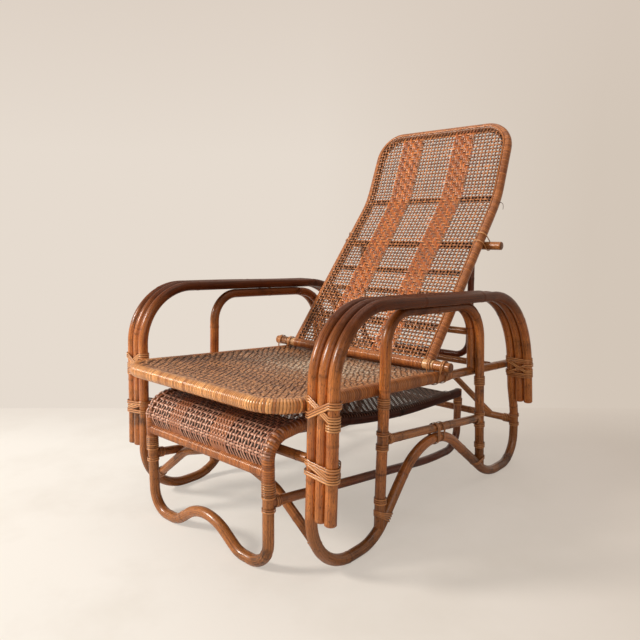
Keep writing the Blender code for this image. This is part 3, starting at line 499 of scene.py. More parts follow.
rackZ = seatZ(arch["rearY"])
archRear = (arch["rearY"], archBack, arch["rearBend"])
rackSide = sidePath(0, (arch["rackTop"], rackTop), archRear, (archLegY(rackZ, True), rackZ))
for side, s in sides:
    x = s * armX
    # the inner arm pole and the foot rail are one pole, bent round to meet itself at the front post
    loop = sidePath(x, armCut, *armRun, *reversed(soleRun), armCut)[:-1]
    pole(f"arm_and_foot_{side}", *redArm, loop, poleR, sideways,
         (f"arm_pole_inner_{side}", f"foot_rail_{side}"), looped=True)
    for k, place in ((1, "middle"), (2, "outer")):
        pole(f"arm_pole_{place}_{side}", *redArm, armSide + (x + s * k * pitch, 0, 0), poleR, sideways)
    path = sidePath(x, (arch["footY"], archFoot), (arch["frontY"], archTop, arch["frontBend"]), archRear,
                    (arch["heelY"], archHeel))
    pole(f"inner_arch_{side}", "frame", armFinish, "tan_rattan", path, poleR, sideways)
    ends = [(archLegY(lowerZ(arch[key]), rear), lowerZ(arch[key]))
            for key, rear in (("frontY", False), ("rearY", True))]
    pole(f"lower_side_rail_{side}", *tanLeg, sidePath(x, *ends), slimR, sideways)
    path = sidePath(s * bareX, *((y, seatZ(y)) for y in (seat["wrapEnd"], seat["railEnd"])))
    pole(f"seat_rail_{side}", "frame", legFinish, "red_brown_rattan", path, bareR, sideways)
    pole(f"rack_pole_{side}", *redArm, rackSide + (s * rackX, 0, 0), poleR, sideways)
print("side frames made")

# Braces and rungs between the sides

brace = {"crossZ": 0.245, "crossEnd": 1.35, "frontY": 0.034, "shoulder": (0.165, 0.152, 0.10),
         "crown": (0.200, 0.30), "rearZ": 0.1325, "rearX": 0.225, "rearCrown": (0.300, 0.13), "rungHighZ": 0.4265,
         "rungRise": 0.005}
braceY, heelZ = brace["frontY"], brace["rearZ"]
crossY = arm["frontLean"] * (brace["crossZ"] - arm["cutZ"]) + poleR + slimR + gap
pole("front_crossbar", "front_crossbar", legFinish, "tan_rattan",
     across(armX + brace["crossEnd"] * pitch, crossY, brace["crossZ"]), slimR, upright)
braceFoot = passing(soleSide, 1, braceY, 0)
shoulderX, shoulderZ, shoulderBend = brace["shoulder"]
half = [((armX, braceY, braceFoot), 0), ((shoulderX, braceY, shoulderZ), shoulderBend)]
path = mirrored(half, ((0, braceY, brace["crown"][0]), brace["crown"][1]))
pole("front_brace", *tanLeg, path, slimR, lengthways)
heelY = passing(soleSide, 2, heelZ)
pole("rear_crossbar", *tanLeg, across(armX, heelY, heelZ), slimR, upright)
path = mirrored([((brace["rearX"], heelY, heelZ), 0)], ((0, heelY, brace["rearCrown"][0]), brace["rearCrown"][1]))
pole("rear_brace", *tanLeg, path, rungR, lengthways)
rungHighY = passing(rackSide, 2, brace["rungHighZ"])
pole("prop_rung_upper", *tanLeg, across(rackX, rungHighY, brace["rungHighZ"]), rungR, upright)

# Backrest

back = {"radius": 0.0145, "footX": 0.2352, "bendX": 0.231, "topX": 0.2265, "setback": 0.010,
        "lean": math.radians(39.2), "length": 0.5626, "headLean": math.radians(20.3), "headLength": 0.2305,
        "headBend": 0.25, "corner": 0.075, "slatRadius": 0.008, "slatAt": (0.105, 0.215, 0.290, 0.560),
        "paleSlats": 2, "pegAt": 0.4121, "pegRadius": 0.0115, "pegEnds": {"left": 0.289, "right": 0.256},
        "pegBare": 0.215, "wrapPitch": 0.0046, "sleeveIn": 0.006, "bandIn": 0.008, "peel": (0.0006, 0.0008)}
backR, pegR, lean, length = back["radius"], back["pegRadius"], back["lean"], back["length"]
hingeZ = seatZ(hinge["y"]) + rimR + hinge["radius"] + gap
backTop = length + back["headLength"]


def onBack(x, along, behind=0.0):
    # a point on the backrest: distance along it from the hinge, and behind its middle
    along = np.asarray(along, float)
    lower, upper = np.minimum(along, length), np.maximum(along - length, 0)
    here = np.where(along <= length, lean, back["headLean"])
    y = hinge["y"] + back["setback"] * math.cos(lean) + behind * np.cos(here)
    z = hingeZ - back["setback"] * math.sin(lean) - behind * np.sin(here)
    y = y + lower * math.sin(lean) + upper * math.sin(back["headLean"])
    z = z + lower * math.cos(lean) + upper * math.cos(back["headLean"])
    return np.stack(np.broadcast_arrays(x, y, z), -1)


def backX(along):
    # half width between the rails' middles
    return np.interp(along, (0, length, backTop), (back["footX"], back["bendX"], back["topX"]))


backOut = (0, -math.cos(lean), math.sin(lean))
backPath = mirrored([(onBack(backX(0), 0), 0), (onBack(back["bendX"], length), back["headBend"]),
                     (onBack(back["topX"], backTop), back["corner"])])
wrapped("backrest_frame", "backrest", rimCane, backPath, backR, backOut, back["wrapPitch"],
        covered=True)
_, pegY, pegZ = onBack(0, back["pegAt"], backR + pegR + gap)
# the peg bar is pale where it stands clear of the back
pole("peg_bar_middle", "backrest", darkFinish, "tan_rattan", across(back["pegBare"], pegY, pegZ), pegR, upright,
     ("peg_bar",))
for side, s in sides:
    path = straight(*((s * x, pegY, pegZ) for x in (back["pegBare"], back["pegEnds"][side])))
    pole(f"peg_bar_end_{side}", "backrest", legFinish, "tan_rattan", path, pegR, upright, ())
for i, along in enumerate(back["slatAt"], 1):
    _, y, z = onBack(0, along, back["slatRadius"] - backR)
    pole(f"back_slat_{i}", "backrest", darkFinish if i > back["paleSlats"] else legFinish, "dark_rattan",
         across(backX(along), y, z), back["slatRadius"], upright)
# the hinge bar is wrapped between the rails and bare at its ends
sleeve = back["footX"] - back["sleeveIn"]
wrapped("hinge_bar_sleeve", "backrest", rimCane, across(sleeve, hinge["y"], hingeZ), hinge["radius"],
        upright, back["wrapPitch"], ("hinge_bar",))
for side, s in sides:
    spots = [(s * x, hinge["y"], hingeZ) for x in (sleeve, rimX - back["bandIn"], hinge["half"])]
    for k, (part, finish) in enumerate((("band", bareFinish), ("end", legFinish))):
        pole(f"hinge_bar_{part}_{side}", "backrest", finish, "tan_rattan", straight(*spots[k:k + 2]),
             hinge["radius"] - back["peel"][k], upright, ())

# Prop

prop = {"bend": 0.045, "lash": 0.0046}
propX = backX(back["pegAt"]) - backR - rungR - 2 * prop["lash"] - 2 * gap
propTop = pegZ - pegR
toPeg = np.array((pegY, pegZ)) - (hinge["y"], hingeZ)
reach = (2 * rungR + gap) / np.linalg.norm(toPeg)
rungLowY = pegY - toPeg[0] * reach
rungLowZ = seatZ(rungLowY) + brace["rungRise"]
propFoot = rungLowZ + toPeg[1] * reach
path = mirrored([((propX, pegY, propTop), 0), ((propX, pegY, propFoot), prop["bend"])])
pole("prop_bail", "prop", redFinish, "dark_rattan", path, rungR, lengthways)
pole("prop_rung_lower", *tanLeg, across(bareX, rungLowY, rungLowZ), rungR, upright)
print("backrest and prop made")

# Seat

seatWrap = {"front": 0.0058, "side": 0.0068, "lap": 0.004, "thin": 0.0003}
rimFront, rimRear = ((rimX, y, seatZ(y)) for y in (seat["front"][0], seat["wrapEnd"]))
path = mirrored([(rimRear, 0), (rimFront, seat["corner"])])
# the cane is honey coloured round the front and browner along the sides
wrapped("seat_rim_front", "frame", honeyCane, path[path[:, 1] < seat["paleEnd"]], rimR, upright,
        seatWrap["front"], ("seat_rim",))
for side, s in sides:
    ends = [(s * rimX, y, seatZ(y)) for y in (seat["paleEnd"] - seatWrap["lap"], seat["wrapEnd"])]
    wrapped(f"seat_rim_side_{side}", "frame", sideCane, straight(*ends), rimR - seatWrap["thin"],
            upright, seatWrap["side"], ())
pole("seat_rear_bar", *tanLeg, across(rimX, seat["rearBar"], seatZ(seat["rearBar"])), slimR, upright)

# Footrest

rest = {"x": 0.209, "radius": 0.0135, "frontY": -0.030, "spliceZ": 0.195, "knuckle": (0.2845, 0.050),
        "crest": (0.090, 0.296, 0.35), "dip": (0.340, 0.243, 1.8), "end": (0.712, 0.235), "barZ": 0.2167,
        "barRadius": 0.0125, "rearBar": 0.655, "lowFall": 0.1305, "lowBend": (0.560, 1.0), "lowEndZ": 0.0735,
        "heelBend": 0.055, "heelTopZ": 0.246, "toe": (0.205, 0.055), "flat": (0.112, 0.070), "crown": (0.088, 0.12),
        "wrapEnd": 0.135, "wrapPitch": 0.0050, "peel": 0.0008}
restX, restY, restEnd = rest["x"], rest["frontY"], rest["end"][0]
restSide = sidePath(0, (restY, rest["spliceZ"]), (restY, *rest["knuckle"]), rest["crest"], rest["dip"], rest["end"])
shoulderSlope = (braceFoot - shoulderZ) / (armX - shoulderX)
lowSeat = shoulderZ + shoulderSlope * (restX - shoulderX) + (2 * slimR + gap) * math.hypot(1, shoulderSlope)


def lowZ(y):
    return lowSeat - rest["lowFall"] * (y - braceY)


# the rails' wrapping stops at one point and the pole behind is bare
bareFrom = np.nonzero(restSide[:, 1] > rest["wrapEnd"])[0][0]
for side, s in sides:
    rail = restSide + (s * restX, 0, 0)
    wrapped(f"footrest_rail_wrap_{side}", "footrest", rimCane, rail[:bareFrom], rest["radius"],
            sideways, rest["wrapPitch"], (f"footrest_rail_{side}",))
    pole(f"footrest_rail_bare_{side}", "footrest", darkFinish, "red_brown_rattan", rail[bareFrom - 1:],
         rest["radius"] - rest["peel"], sideways, ())
    bendY, bend = rest["lowBend"]
    path = sidePath(s * restX, (restY, lowZ(restY)), (bendY, lowZ(bendY), bend),
                    (restEnd, rest["lowEndZ"], rest["heelBend"]), (restEnd, rest["heelTopZ"]))
    pole(f"footrest_lower_rail_{side}", "footrest", railFinish, "dark_rattan", path, slimR, sideways)
half = [((restX, restY, rest["spliceZ"]), 0)]
half += [((rest[key][0], restY, footRail["soleZ"]), rest[key][1]) for key in ("toe", "flat")]
path = mirrored(half, ((0, restY, rest["crown"][0]), rest["crown"][1]))
pole("footrest_foot_bow", "footrest", legFinish, "tan_rattan", path, poleR, lengthways)
wrapped("footrest_front_bar", "footrest", rimCane, across(restX, restY, rest["barZ"]),
        rest["barRadius"], upright, rest["wrapPitch"])
restRearZ = passing(restSide, 1, rest["rearBar"])
pole("footrest_rear_bar", "footrest", darkFinish, "dark_rattan", across(restX, rest["rearBar"], restRearZ), slimR,
     upright)
print("seat rim and footrest made")

# Woven panels

weaving = {"thick": 0.0013, "lift": 0.0014}


def crossings(at, lines, over):
    # height between crossings, eased from one to the next
    index = np.clip(np.searchsorted(lines, at) - 1, 0, len(lines) - 2)
    t = eased(np.clip((at - lines[index]) / (lines[index + 1] - lines[index]), 0, 1))
    strand = np.arange(at.shape[0])[:, None]
    return over[strand, index] * (1 - t) + over[strand, index + 1] * t


def woven(name, body, finish, surfaceAt, outAt, lines, ends, widths, over, other, swap, stripe, replaces=(),
          skew=None, perCross=3, shade=None, grit=0.0):
    # strands one way along a panel: P(a, b) = S(a, b) + N(a, b) h, where h goes over and under the other way
    start, end = (v[:, None] for v in np.broadcast_arrays(*ends, lines)[:2])
    spacing = np.median(np.diff(other))
    share = np.linspace(0, 1, int(perCross * np.max(end - start) / spacing))[None]
    at = start * (1 - share) + end * share
    beyond = np.maximum(other[0] - at, at - other[-1]) / spacing
    height = crossings(at, other, over) * np.clip(1 - beyond, 0, 1)
    fixed = np.broadcast_to(lines[:, None], at.shape)
    if skew is not None:
        fixed = fixed + skew(at)
    a, b = (at, fixed) if swap else (fixed, at)
    out = outAt(a, b)
    path = surfaceAt(a, b) + out * (weaving["lift"] * height)[..., None]
    # painted shade: a strand goes darker where it dips under another, and on its back where it lies on one; grit
    # adds random tone
    facing = np.clip(0.5 - 0.5 * height, 0, 1)[..., None]
    low = facing + (1 - 2 * facing) * ribbon["back"] + (grit * draw.uniform(-1, 1, height.shape))[..., None]
    if shade:
        low = low + shade(a, b)[..., None]
    strands(name, body, finish, path, out, widths, weaving["thick"], False, replaces,
            {"low": low, "stripe": np.broadcast_to(stripe(a, b), a.shape)[..., None]})


def inZones(at, zones):
    return np.any([(at >= low) & (at <= high) for low, high in zones], axis=0)


def zoned(edge, pitch, zones):
    # places of strands from edge to edge, twice as close inside the zones; and which are in a zone
    spots, dense, here = [], [], -edge
    while here < edge:
        inside = any(a <= here <= b for a, b in zones)
        spots.append(here)
        dense.append(inside)
        here += pitch * (0.5 if inside else 1)
    return np.array(spots), np.array(dense)


def pattern(i, j, step, cycle, floats):
    # 1 where strand i lies over strand j, -1 where it lies under
    return np.where((i[:, None] + step * j) % cycle < floats, 1.0, -1.0)


def missed(count, chance):
    # numbers of strands; now and then one is missed and the rib of a twill breaks
    return np.arange(count) + np.cumsum(draw.uniform(0, 1, count) < chance)


def sampled(b, run, values):
    return np.stack([np.interp(b, run, values[:, k]) for k in range(3)], -1)


def swept(a, b, front, run, line, normal):
    # a point in front of a panel's line in the side view, at its run b
    point = sampled(b, run, line) + sampled(b, run, normal) * front[..., None]
    point[..., 0] = a
    return point


def frameDistance(a, b, halfWidth, top, corner):
    # how far a point of a flat panel lies outside its round-cornered frame line, and how much that is upwards
    x, y = np.abs(a) - (halfWidth - corner), b - (top - corner)
    corners = (x > 0) & (y > 0)
    far = np.where(corners, np.hypot(x, y), np.maximum(x, y))
    rise = np.where(corners, y / np.maximum(far, 1e-9), np.where(x >= y, 0.0, 1.0))
    return far - corner, rise


def reachOf(past, edge, corner, hold):
    # where a strand ends: at a straight edge, or at its round corner for strands past the start of that
    bow = np.sqrt(np.maximum((corner + hold) ** 2 - np.maximum(past, 0) ** 2, 0))
    return np.where(past <= 0, edge + hold, edge - corner + bow)


backWeave = {"pitch": 0.0113, "open": 0.0054, "dense": 0.0061, "stripes": ((-0.135, -0.060), (0.047, 0.125)),
             "inset": 0.75, "foot": 0.017, "start": 0.008, "cane": 0.0168, "hold": -0.0045, "tuck": 0.0030,
             "topHold": -0.0070, "topTuck": 0.0052, "tuckRun": 0.007, "slot": 0.0225, "slant": 0.005,
             "overRow": 0.003, "step": 0.005, "stepRun": 0.070, "satin": (2, 5, 2), "grit": (0.2, 0.45),
             "pale": (0.1, -0.8)}
backLine = bentPath([(onBack(0, 0), 0), (onBack(0, length), back["headBend"]), (onBack(0, backTop), 0)], 0.002)
backRun = runOf(backLine)
backEnd, corner = backRun[-1], back["corner"]
backNormal = framesOf(backLine, backOut)[1]
backRise = unit(backLine[-1] - backLine[-2])


def backAt(a, b):
    # the cane lies flat on the front of the rails, and its ends are tucked down to their middles
    dist, top = frameDistance(a, b, backX(b), backEnd, corner)
    hold, depth = (backWeave[side] * (1 - top) + backWeave[over] * top
                   for side, over in (("hold", "topHold"), ("tuck", "topTuck")))
    tuck = np.clip(1 + (dist - hold) / backWeave["tuckRun"], 0, 1)
    over = np.maximum(b - backEnd, 0)[..., None] * backRise
    return swept(a, b, backWeave["cane"] - depth * tuck * tuck, backRun, backLine, backNormal) + over


def backOutAt(a, b):
    return sampled(b, backRun, backNormal)


def backBand(a, b):
    # the stripes' edges step from side to side
    step = backWeave["step"] * np.sign(np.sin(2 * math.pi * b / backWeave["stepRun"]))
    return 1.0 * inZones(a - step, backWeave["stripes"])


def backSkew(b):
    # the strands slant between the last row and the top rail
    return backWeave["slant"] * np.clip(1 + (b - backEnd) / backWeave["slot"], 0, 1)


columns, inStripe = zoned(back["footX"] - backWeave["inset"] * backR, backWeave["pitch"], backWeave["stripes"])
marks = sorted([backWeave["foot"], *back["slatAt"], back["pegAt"], backEnd - backWeave["slot"]])
rows = np.unique(np.concatenate([np.linspace(a, b, 1 + max(1, round((b - a) / backWeave["pitch"])))
                                 for a, b in zip(marks, marks[1:])]).round(6))
tops = reachOf(np.abs(columns) - (back["topX"] - corner), backEnd, corner, backWeave["topHold"])
reaches = reachOf(rows - (backEnd - corner), backX(rows), corner, backWeave["hold"])
i, j = np.arange(len(columns)), np.arange(len(rows))
# the stripes are a satin, each crossing strand over two uprights and under three
over = np.where(inStripe[:, None], -pattern(i, j, *backWeave["satin"]), pattern(i, j, 1, 2, 1))
tops[inStripe & (i % 2 == 1)] = rows[-1] + backWeave["overRow"]
panel = ("backrest", backCane, backAt, backOutAt)
woven("backrest_cane_upright", *panel, columns, (backWeave["start"], tops),
      np.where(inStripe, backWeave["dense"], backWeave["open"]), over, rows, False, backBand, ("backrest_panel",),
      backSkew, grit=backWeave["grit"][0])
woven("backrest_cane_across", *panel, rows, (-reaches, reaches), backWeave["open"], -over.T, columns, True,
      lambda a, b: backWeave["pale"][0] * backBand(a, b), grit=backWeave["grit"][1],
      shade=lambda a, b: backWeave["pale"][1] * backBand(a, b))
# a flat strand laid along the inside of the rails, over the ends of the cane
border = {"turned": 0.30, "lift": 0.0010, "width": 0.0045, "thick": 0.0020}
_, front, aside = framesOf(backPath, backOut)
front = front * math.cos(border["turned"]) - aside * math.sin(border["turned"])
strands("backrest_border", "backrest", rimCane, (backPath + front * (backR + border["lift"]))[None],
        front[None], border["width"], border["thick"], False)

seatWeave = {"columns": 0.0047, "rows": 0.0064, "fill": (0.84, 0.82), "tuck": 0.45, "lip": 0.0075, "ease": 0.028,
             "sag": 0.004, "firstRow": 0.002, "breaks": 0.14, "split": 0.23, "grit": 0.35, "worn": (0.02, 0.36),
             "wornSize": (0.17, 0.10), "wornShare": (0.8, 0.35)}
seatHalf = rimX - seatWeave["tuck"] * rimR
seatFront = seat["front"][0] + seatWeave["tuck"] * rimR
seatCorner = seat["corner"] - seatWeave["tuck"] * rimR
seatEnd = seat["rearBar"]


def seatAt(a, b):
    # level with the upper part of the rim all round, and hollowed by the sitter in the middle
    dist = np.minimum(frameDistance(a, -b, seatHalf, -seatFront, seatCorner)[0], 0.0)
    share = np.clip((b - seatFront) / (seatEnd - seatFront), 0, 1)
    hollow = (1 - (a / seatHalf) ** 2) * np.sin(math.pi * share)
    rise = seat["rise"] + seatWeave["lip"] * np.exp(dist / seatWeave["ease"]) - seatWeave["sag"] * hollow
    return np.stack([a, b, seatZ(b) + rise], -1)


def seatOutAt(a, b):
    return np.broadcast_to(unit((0, seat["fall"], 1)), (*a.shape, 3))


def seatEdge(b):
    return reachOf(seatFront + seatCorner - b, seatHalf, seatCorner, 0)


def seatWearAndLightSpecks(a, b):
    # paler where the sitter's weight has worn it; the near-white specks at random points there are painted light
    # coming through pinholes
    x, y = ((v - middle) / size for v, middle, size in zip((a, b), seatWeave["worn"], seatWeave["wornSize"]))
    share = np.exp(-x * x - y * y)
    bare, rubbed = seatWeave["wornShare"]
    return np.where(draw.uniform(0, 1, a.shape) < bare * share, 1.0, rubbed * share)


columns = np.arange(-seatHalf, seatHalf, seatWeave["columns"])
rows = np.arange(seatFront + seatWeave["firstRow"], seatEnd, seatWeave["rows"])
fit = np.linspace(seatFront, seatEnd, 400)
starts = np.array([fit[seatEdge(fit) >= abs(c)].min() for c in columns])
# a twill: over two, under two, stepping one strand each row
over = pattern(*(missed(len(v), seatWeave["breaks"]) for v in (columns, rows)), 1, 4, 2)
panel = ("frame", seatCane, seatAt, seatOutAt)
given = {"perCross": 2, "grit": seatWeave["grit"]}
wide, tall = (fill * seatWeave[key] for fill, key in zip(seatWeave["fill"], ("columns", "rows")))
for part, kept in (("left", columns > 0), ("right", columns <= 0)):
    woven(f"seat_cane_along_{part}", *panel, columns[kept], (starts[kept], seatEnd), wide, over[kept], rows, False,
          seatWearAndLightSpecks, ("seat_panel",) if part == "left" else (), **given)
for part, kept in (("front", rows < seatWeave["split"]), ("rear", rows >= seatWeave["split"])):
    edges = seatEdge(rows[kept])
    woven(f"seat_cane_across_{part}", *panel, rows[kept], (-edges, edges), tall, -over.T[kept], columns, True,
          seatWearAndLightSpecks, **given)

restWeave = {"pitch": 0.0098, "rows": 0.0112, "open": 0.0050, "dense": 0.0048, "inset": 0.1,
             "stripes": ((-0.130, -0.080), (0.020, 0.080)), "band": 0.016, "borderRows": 3, "borderPitch": 0.0050,
             "borderFill": 0.95, "fill": (1.15, 0.9), "slant": 0.010, "cane": 0.0147, "hold": 0.9, "tuck": 0.004,
             "tuckFrom": 0.75, "ease": 0.020, "flat": 0.009, "onBar": 0.003, "barRun": (0.006, 0.030),
             "close": 0.0096, "closeFrom": 0.165, "shade": 0.8, "shadeFrom": 0.150, "shadeRun": 0.06, "banded": 0.4}
restLine = restSide[restSide[:, 1] < rest["rearBar"]]
restLine = restLine[np.argmax(restLine[:, 2] > rest["barZ"]):]
restRun = runOf(restLine)
restNormal = framesOf(restLine, (0, -0.3, 1))[1]
caneR = restWeave["cane"]


def restAngle(a):
    # how far round a rail the cane has gone
    beyond = np.maximum(np.abs(a) - restX, 0)
    return beyond, beyond / caneR


def restAt(a, b):
    # over the rails and round them; it drops between them, and at the front it runs in on top of the bar
    beyond, angle = restAngle(a)
    tuck = restWeave["tuck"] * np.clip(angle / restWeave["hold"] - restWeave["tuckFrom"], 0, 1)
    inside = eased(np.clip((restX - np.abs(a)) / restWeave["ease"], 0, 1))
    level = caneR - caneR * (1 - np.cos(angle)) - tuck - (caneR - restWeave["flat"]) * inside
    barFrom, barRun = restWeave["barRun"]
    start = eased(np.clip((b - barFrom) / barRun, 0, 1))
    front = restWeave["onBar"] + (level - restWeave["onBar"]) * start
    return swept(a + np.sign(a) * (caneR * np.sin(angle) - beyond), b, front, restRun, restLine, restNormal)


def restOutAt(a, b):
    _, angle = restAngle(a)
    out = sampled(b, restRun, restNormal) * np.cos(angle)[..., None]
    out[..., 0] = np.sign(a) * np.sin(angle)
    return unit(out)


def restSkew(b):
    # the strands slant where they leave the front bar
    return restWeave["slant"] * np.clip(1 - b / (restWeave["band"] + restWeave["barRun"][0]), 0, 1)


def restBand(a, b):
    return 1.0 * inZones(a, restWeave["stripes"])


def restShade(a, b):
    # painted shadow of the seat, darkening the cane under it
    return restWeave["shade"] * np.clip((b - restWeave["shadeFrom"]) / restWeave["shadeRun"], 0, 1)


columns, inStripe = zoned(restX + restWeave["inset"] * rest["radius"], restWeave["pitch"], restWeave["stripes"])
edging = rest["barRadius"] + restWeave["band"] + np.arange(restWeave["borderRows"]) * restWeave["borderPitch"]
closeFrom = restWeave["closeFrom"]
rows = np.concatenate([edging, np.arange(edging[-1] + restWeave["rows"], closeFrom, restWeave["rows"]),
                       np.arange(closeFrom, restRun[-1], restWeave["close"])])
rowWidth = np.where(rows <= edging[-1], restWeave["borderPitch"] * restWeave["borderFill"],
                    np.where(rows < closeFrom, *restWeave["fill"]) * restWeave["open"])
over = pattern(np.arange(len(columns)), np.arange(len(rows)), 1, 2, 1)
panel = ("footrest", restCane, restAt, restOutAt)
woven("footrest_cane_along", *panel, columns, (0, restRun[-1]),
      np.where(inStripe, restWeave["dense"], restWeave["open"]), over, rows, False, restBand, ("footrest_panel",),
      restSkew, shade=restShade)
hold = caneR * restWeave["hold"]
woven("footrest_cane_across", *panel, rows, (-restX - hold, restX + hold), rowWidth, -over.T, columns, True,
      lambda a, b: restWeave["banded"] * restBand(a, b), shade=restShade)
# a dark sheet under the front of the cane, painted shade so that its holes look dark
shadeSheet = {"run": (0.004, 0.150), "under": 0.0045, "narrow": 0.012, "thick": 0.0012}
run = np.linspace(*shadeSheet["run"], 40)
out = restOutAt(0 * run, run)
strands("footrest_lining", "footrest", darkCane, (restAt(0 * run, run) - out * shadeSheet["under"])[None],
        out[None], 2 * restX - shadeSheet["narrow"], shadeSheet["thick"], False)
print("panels woven")

# Lashings

lash = {"width": 0.0042, "thick": 0.0015, "pitch": 0.0050, "clear": 0.0008, "perCorner": 7}


def roundRow(centre, outward, backward, along, span, depth, radius, levels, layer=0, short=0.0):
    # flat closed loops round a row of poles: the outline of a rectangle grown by a radius, tilted from the
    # level at its inner end to the level at its outer end; at the back the row may be shorter
    grown = radius + lash["clear"] + lash["thick"] * (0.5 + layer)
    cut = math.atan2(short, depth) / (math.pi / 2) if short else 0
    turns = ((cut, 1), (1, 2), (2, 3), (3, 4 + cut))
    angle = np.concatenate([np.linspace(*turn, lash["perCorner"]) for turn in turns]) * math.pi / 2
    mid = np.repeat(np.arange(4), lash["perCorner"])
    u = np.array((span - short, 0, 0, span))[mid] + grown * np.cos(angle)
    v = np.where(mid < 2, depth, 0) + grown * np.sin(angle)
    keep = np.hypot(u - np.roll(u, 1), v - np.roll(v, 1)) > 1e-6
    u, v, angle = u[keep], v[keep], angle[keep]
    share = np.clip(u / span, 0, 1) if span else np.zeros_like(u)
    level = levels[:, :1] * (1 - share) + levels[:, 1:] * share
    outward, backward, along = unit(outward), unit(backward), unit(along)
    flat = u[None, :, None] * outward + v[None, :, None] * backward
    path = np.asarray(centre) + flat + level[..., None] * along
    out = np.cos(angle)[:, None] * outward + np.sin(angle)[:, None] * backward
    return path, np.broadcast_to(out, path.shape)


def stack(first, last, count):
    # levels of neighbouring strands: (inner end, outer end)
    step = (np.arange(count) - (count - 1) / 2)[:, None] * lash["pitch"]
    return np.array([first, last])[None] + step


def squareLashing(barAt, bar, barR, railAt, rail, railR, turns):
    # over the bar on both sides of the rail, and under the rail between; turns lie side by side
    barAt, railAt = np.asarray(barAt, float), np.asarray(railAt, float)
    bar, rail = unit(bar), unit(rail)
    away = unit(barAt - railAt)
    a, b = (radius + lash["clear"] + lash["thick"] for radius in (railR, barR))
    t = np.linspace(0, math.pi, 9)[None, :, None]
    more = (np.arange(turns) * lash["pitch"])[:, None, None]
    arcs = []
    for way in (1, -1):
        overBar = away * np.sin(t) - way * rail * np.cos(t)
        underRail = way * bar * np.cos(t) - away * np.sin(t)
        arcs += [(barAt + way * bar * (a + more) + b * overBar, overBar),
                 (railAt + way * rail * (b + more) + a * underRail, underRail)]
    path = np.concatenate([p for p, _ in arcs], 1)
    return path, np.concatenate([np.broadcast_to(o, p.shape) for p, o in arcs], 1)


def collar(at, along, radius, first, turns):
    # turns side by side round one pole
    along = unit(along)
    outward = unit(np.cross(along, sideways if abs(along[0]) < 0.8 else upright))
    levels = (first + np.arange(turns) * lash["pitch"])[:, None] * (1, 1)
    return roundRow(at, outward, np.cross(along, outward), along, 0, 0, radius, levels)


def roundPairs(pairs, radius):
    # one loop round each pair of points on two poles that lie in a side of the chair
    loops = []
    for a, b in pairs:
        apart = np.subtract(b, a)
        outward = unit(apart)
        loops.append(roundRow(a, outward, sideways, np.cross(outward, sideways), float(np.linalg.norm(apart)), 0,
                              radius, np.zeros((1, 2))))
    return [np.concatenate(part) for part in zip(*loops)]


def bind(name, body, *loops, replaces=()):
    # one piece for each set of loops
    for k, (path, out) in enumerate(loops):
        strands(f"{name}_{k + 1}" if len(loops) > 1 else name, body, lashCane if replaces else tieCane,
                path, out, lash["width"], lash["thick"], True, replaces if k == 0 else ())


# strands round the three posts: level at the inner and the outer post, how many, and how many strands lie below
lashRows = {"front": ((0.0185, -0.0125, 3, 0), (-0.0125, 0.0145, 3, 1)),
            "crossbar": ((0.0105, -0.0080, 3, 0), (-0.0100, -0.0150, 2, 1), (0.0120, 0.0070, 2, 1)),
            "rear": ((0.0225, 0.0215, 3, 0), (-0.0225, -0.0215, 3, 0), (0.0165, -0.0085, 2, 0),
                     (-0.0165, 0.0085, 2, 1)),
            "collar": (-0.0335, 3), "hinge": 2, "peg": 1, "sling": (-0.010, -0.010, 4), "slingDrop": 0.004}
postUp = unit((0, arm["frontLean"], 1))
rearUp = unit((0, rearY - arm["rearCut"][0], rearZ - arm["rearCut"][1]))
span = 2 * pitch


def postLashing(which, s, y, z, up, *more, depth=0, short=0.0):
    side = "left" if s > 0 else "right"
    loops = [roundRow((s * armX, y, z), (s, 0, 0), np.cross(up, sideways), up, span, depth, poleR, stack(*levels),
                      layer, short) for *levels, layer in lashRows[which]]
    bind(f"{which}_lashing_{side}_cane", "frame", *loops, *more, replaces=(f"{which}_lashing_{side}",))


postY = arm["frontLean"] * (seatZ(0) - arm["cutZ"])
railY = passing(armSide, 2, seatZ(arm["rearCut"][0]))
pegX = backX(back["pegAt"])
for side, s in sides:
    outerPost = (s * armX + s * span, postY, seatZ(postY))
    postLashing("front", s, postY, seatZ(postY), postUp, collar(outerPost, postUp, poleR, *lashRows["collar"]))
    postLashing("crossbar", s, crossY - poleR - slimR - gap, brace["crossZ"], postUp, depth=2 * slimR + gap,
                short=(2 - brace["crossEnd"]) * pitch)
    postLashing("rear", s, railY, seatZ(railY), rearUp)
    bind(f"hinge_loop_{side}_cane", "frame",
         squareLashing((s * rimX, hinge["y"], hingeZ), sideways, hinge["radius"],
                       (s * rimX, hinge["y"], seatZ(hinge["y"])), (0, 1, -seat["fall"]), rimR, lashRows["hinge"]),
         replaces=(f"hinge_loop_{side}",))
    bind(f"peg_lashing_{side}_cane", "backrest",
         squareLashing((s * pegX, pegY, pegZ), sideways, pegR, onBack(s * pegX, back["pegAt"]),
                       (0, math.sin(lean), math.cos(lean)), backR, lashRows["peg"]),
         replaces=(f"peg_lashing_{side}",))
    bind(f"prop_sling_{side}_cane", "prop",
         roundRow((s * propX, pegY, propTop - lashRows["slingDrop"]), lengthways, sideways, upright, 0, 0, rungR,
                  stack(*lashRows["sling"])), replaces=(f"prop_sling_{side}",))

# Small bindings where single poles meet

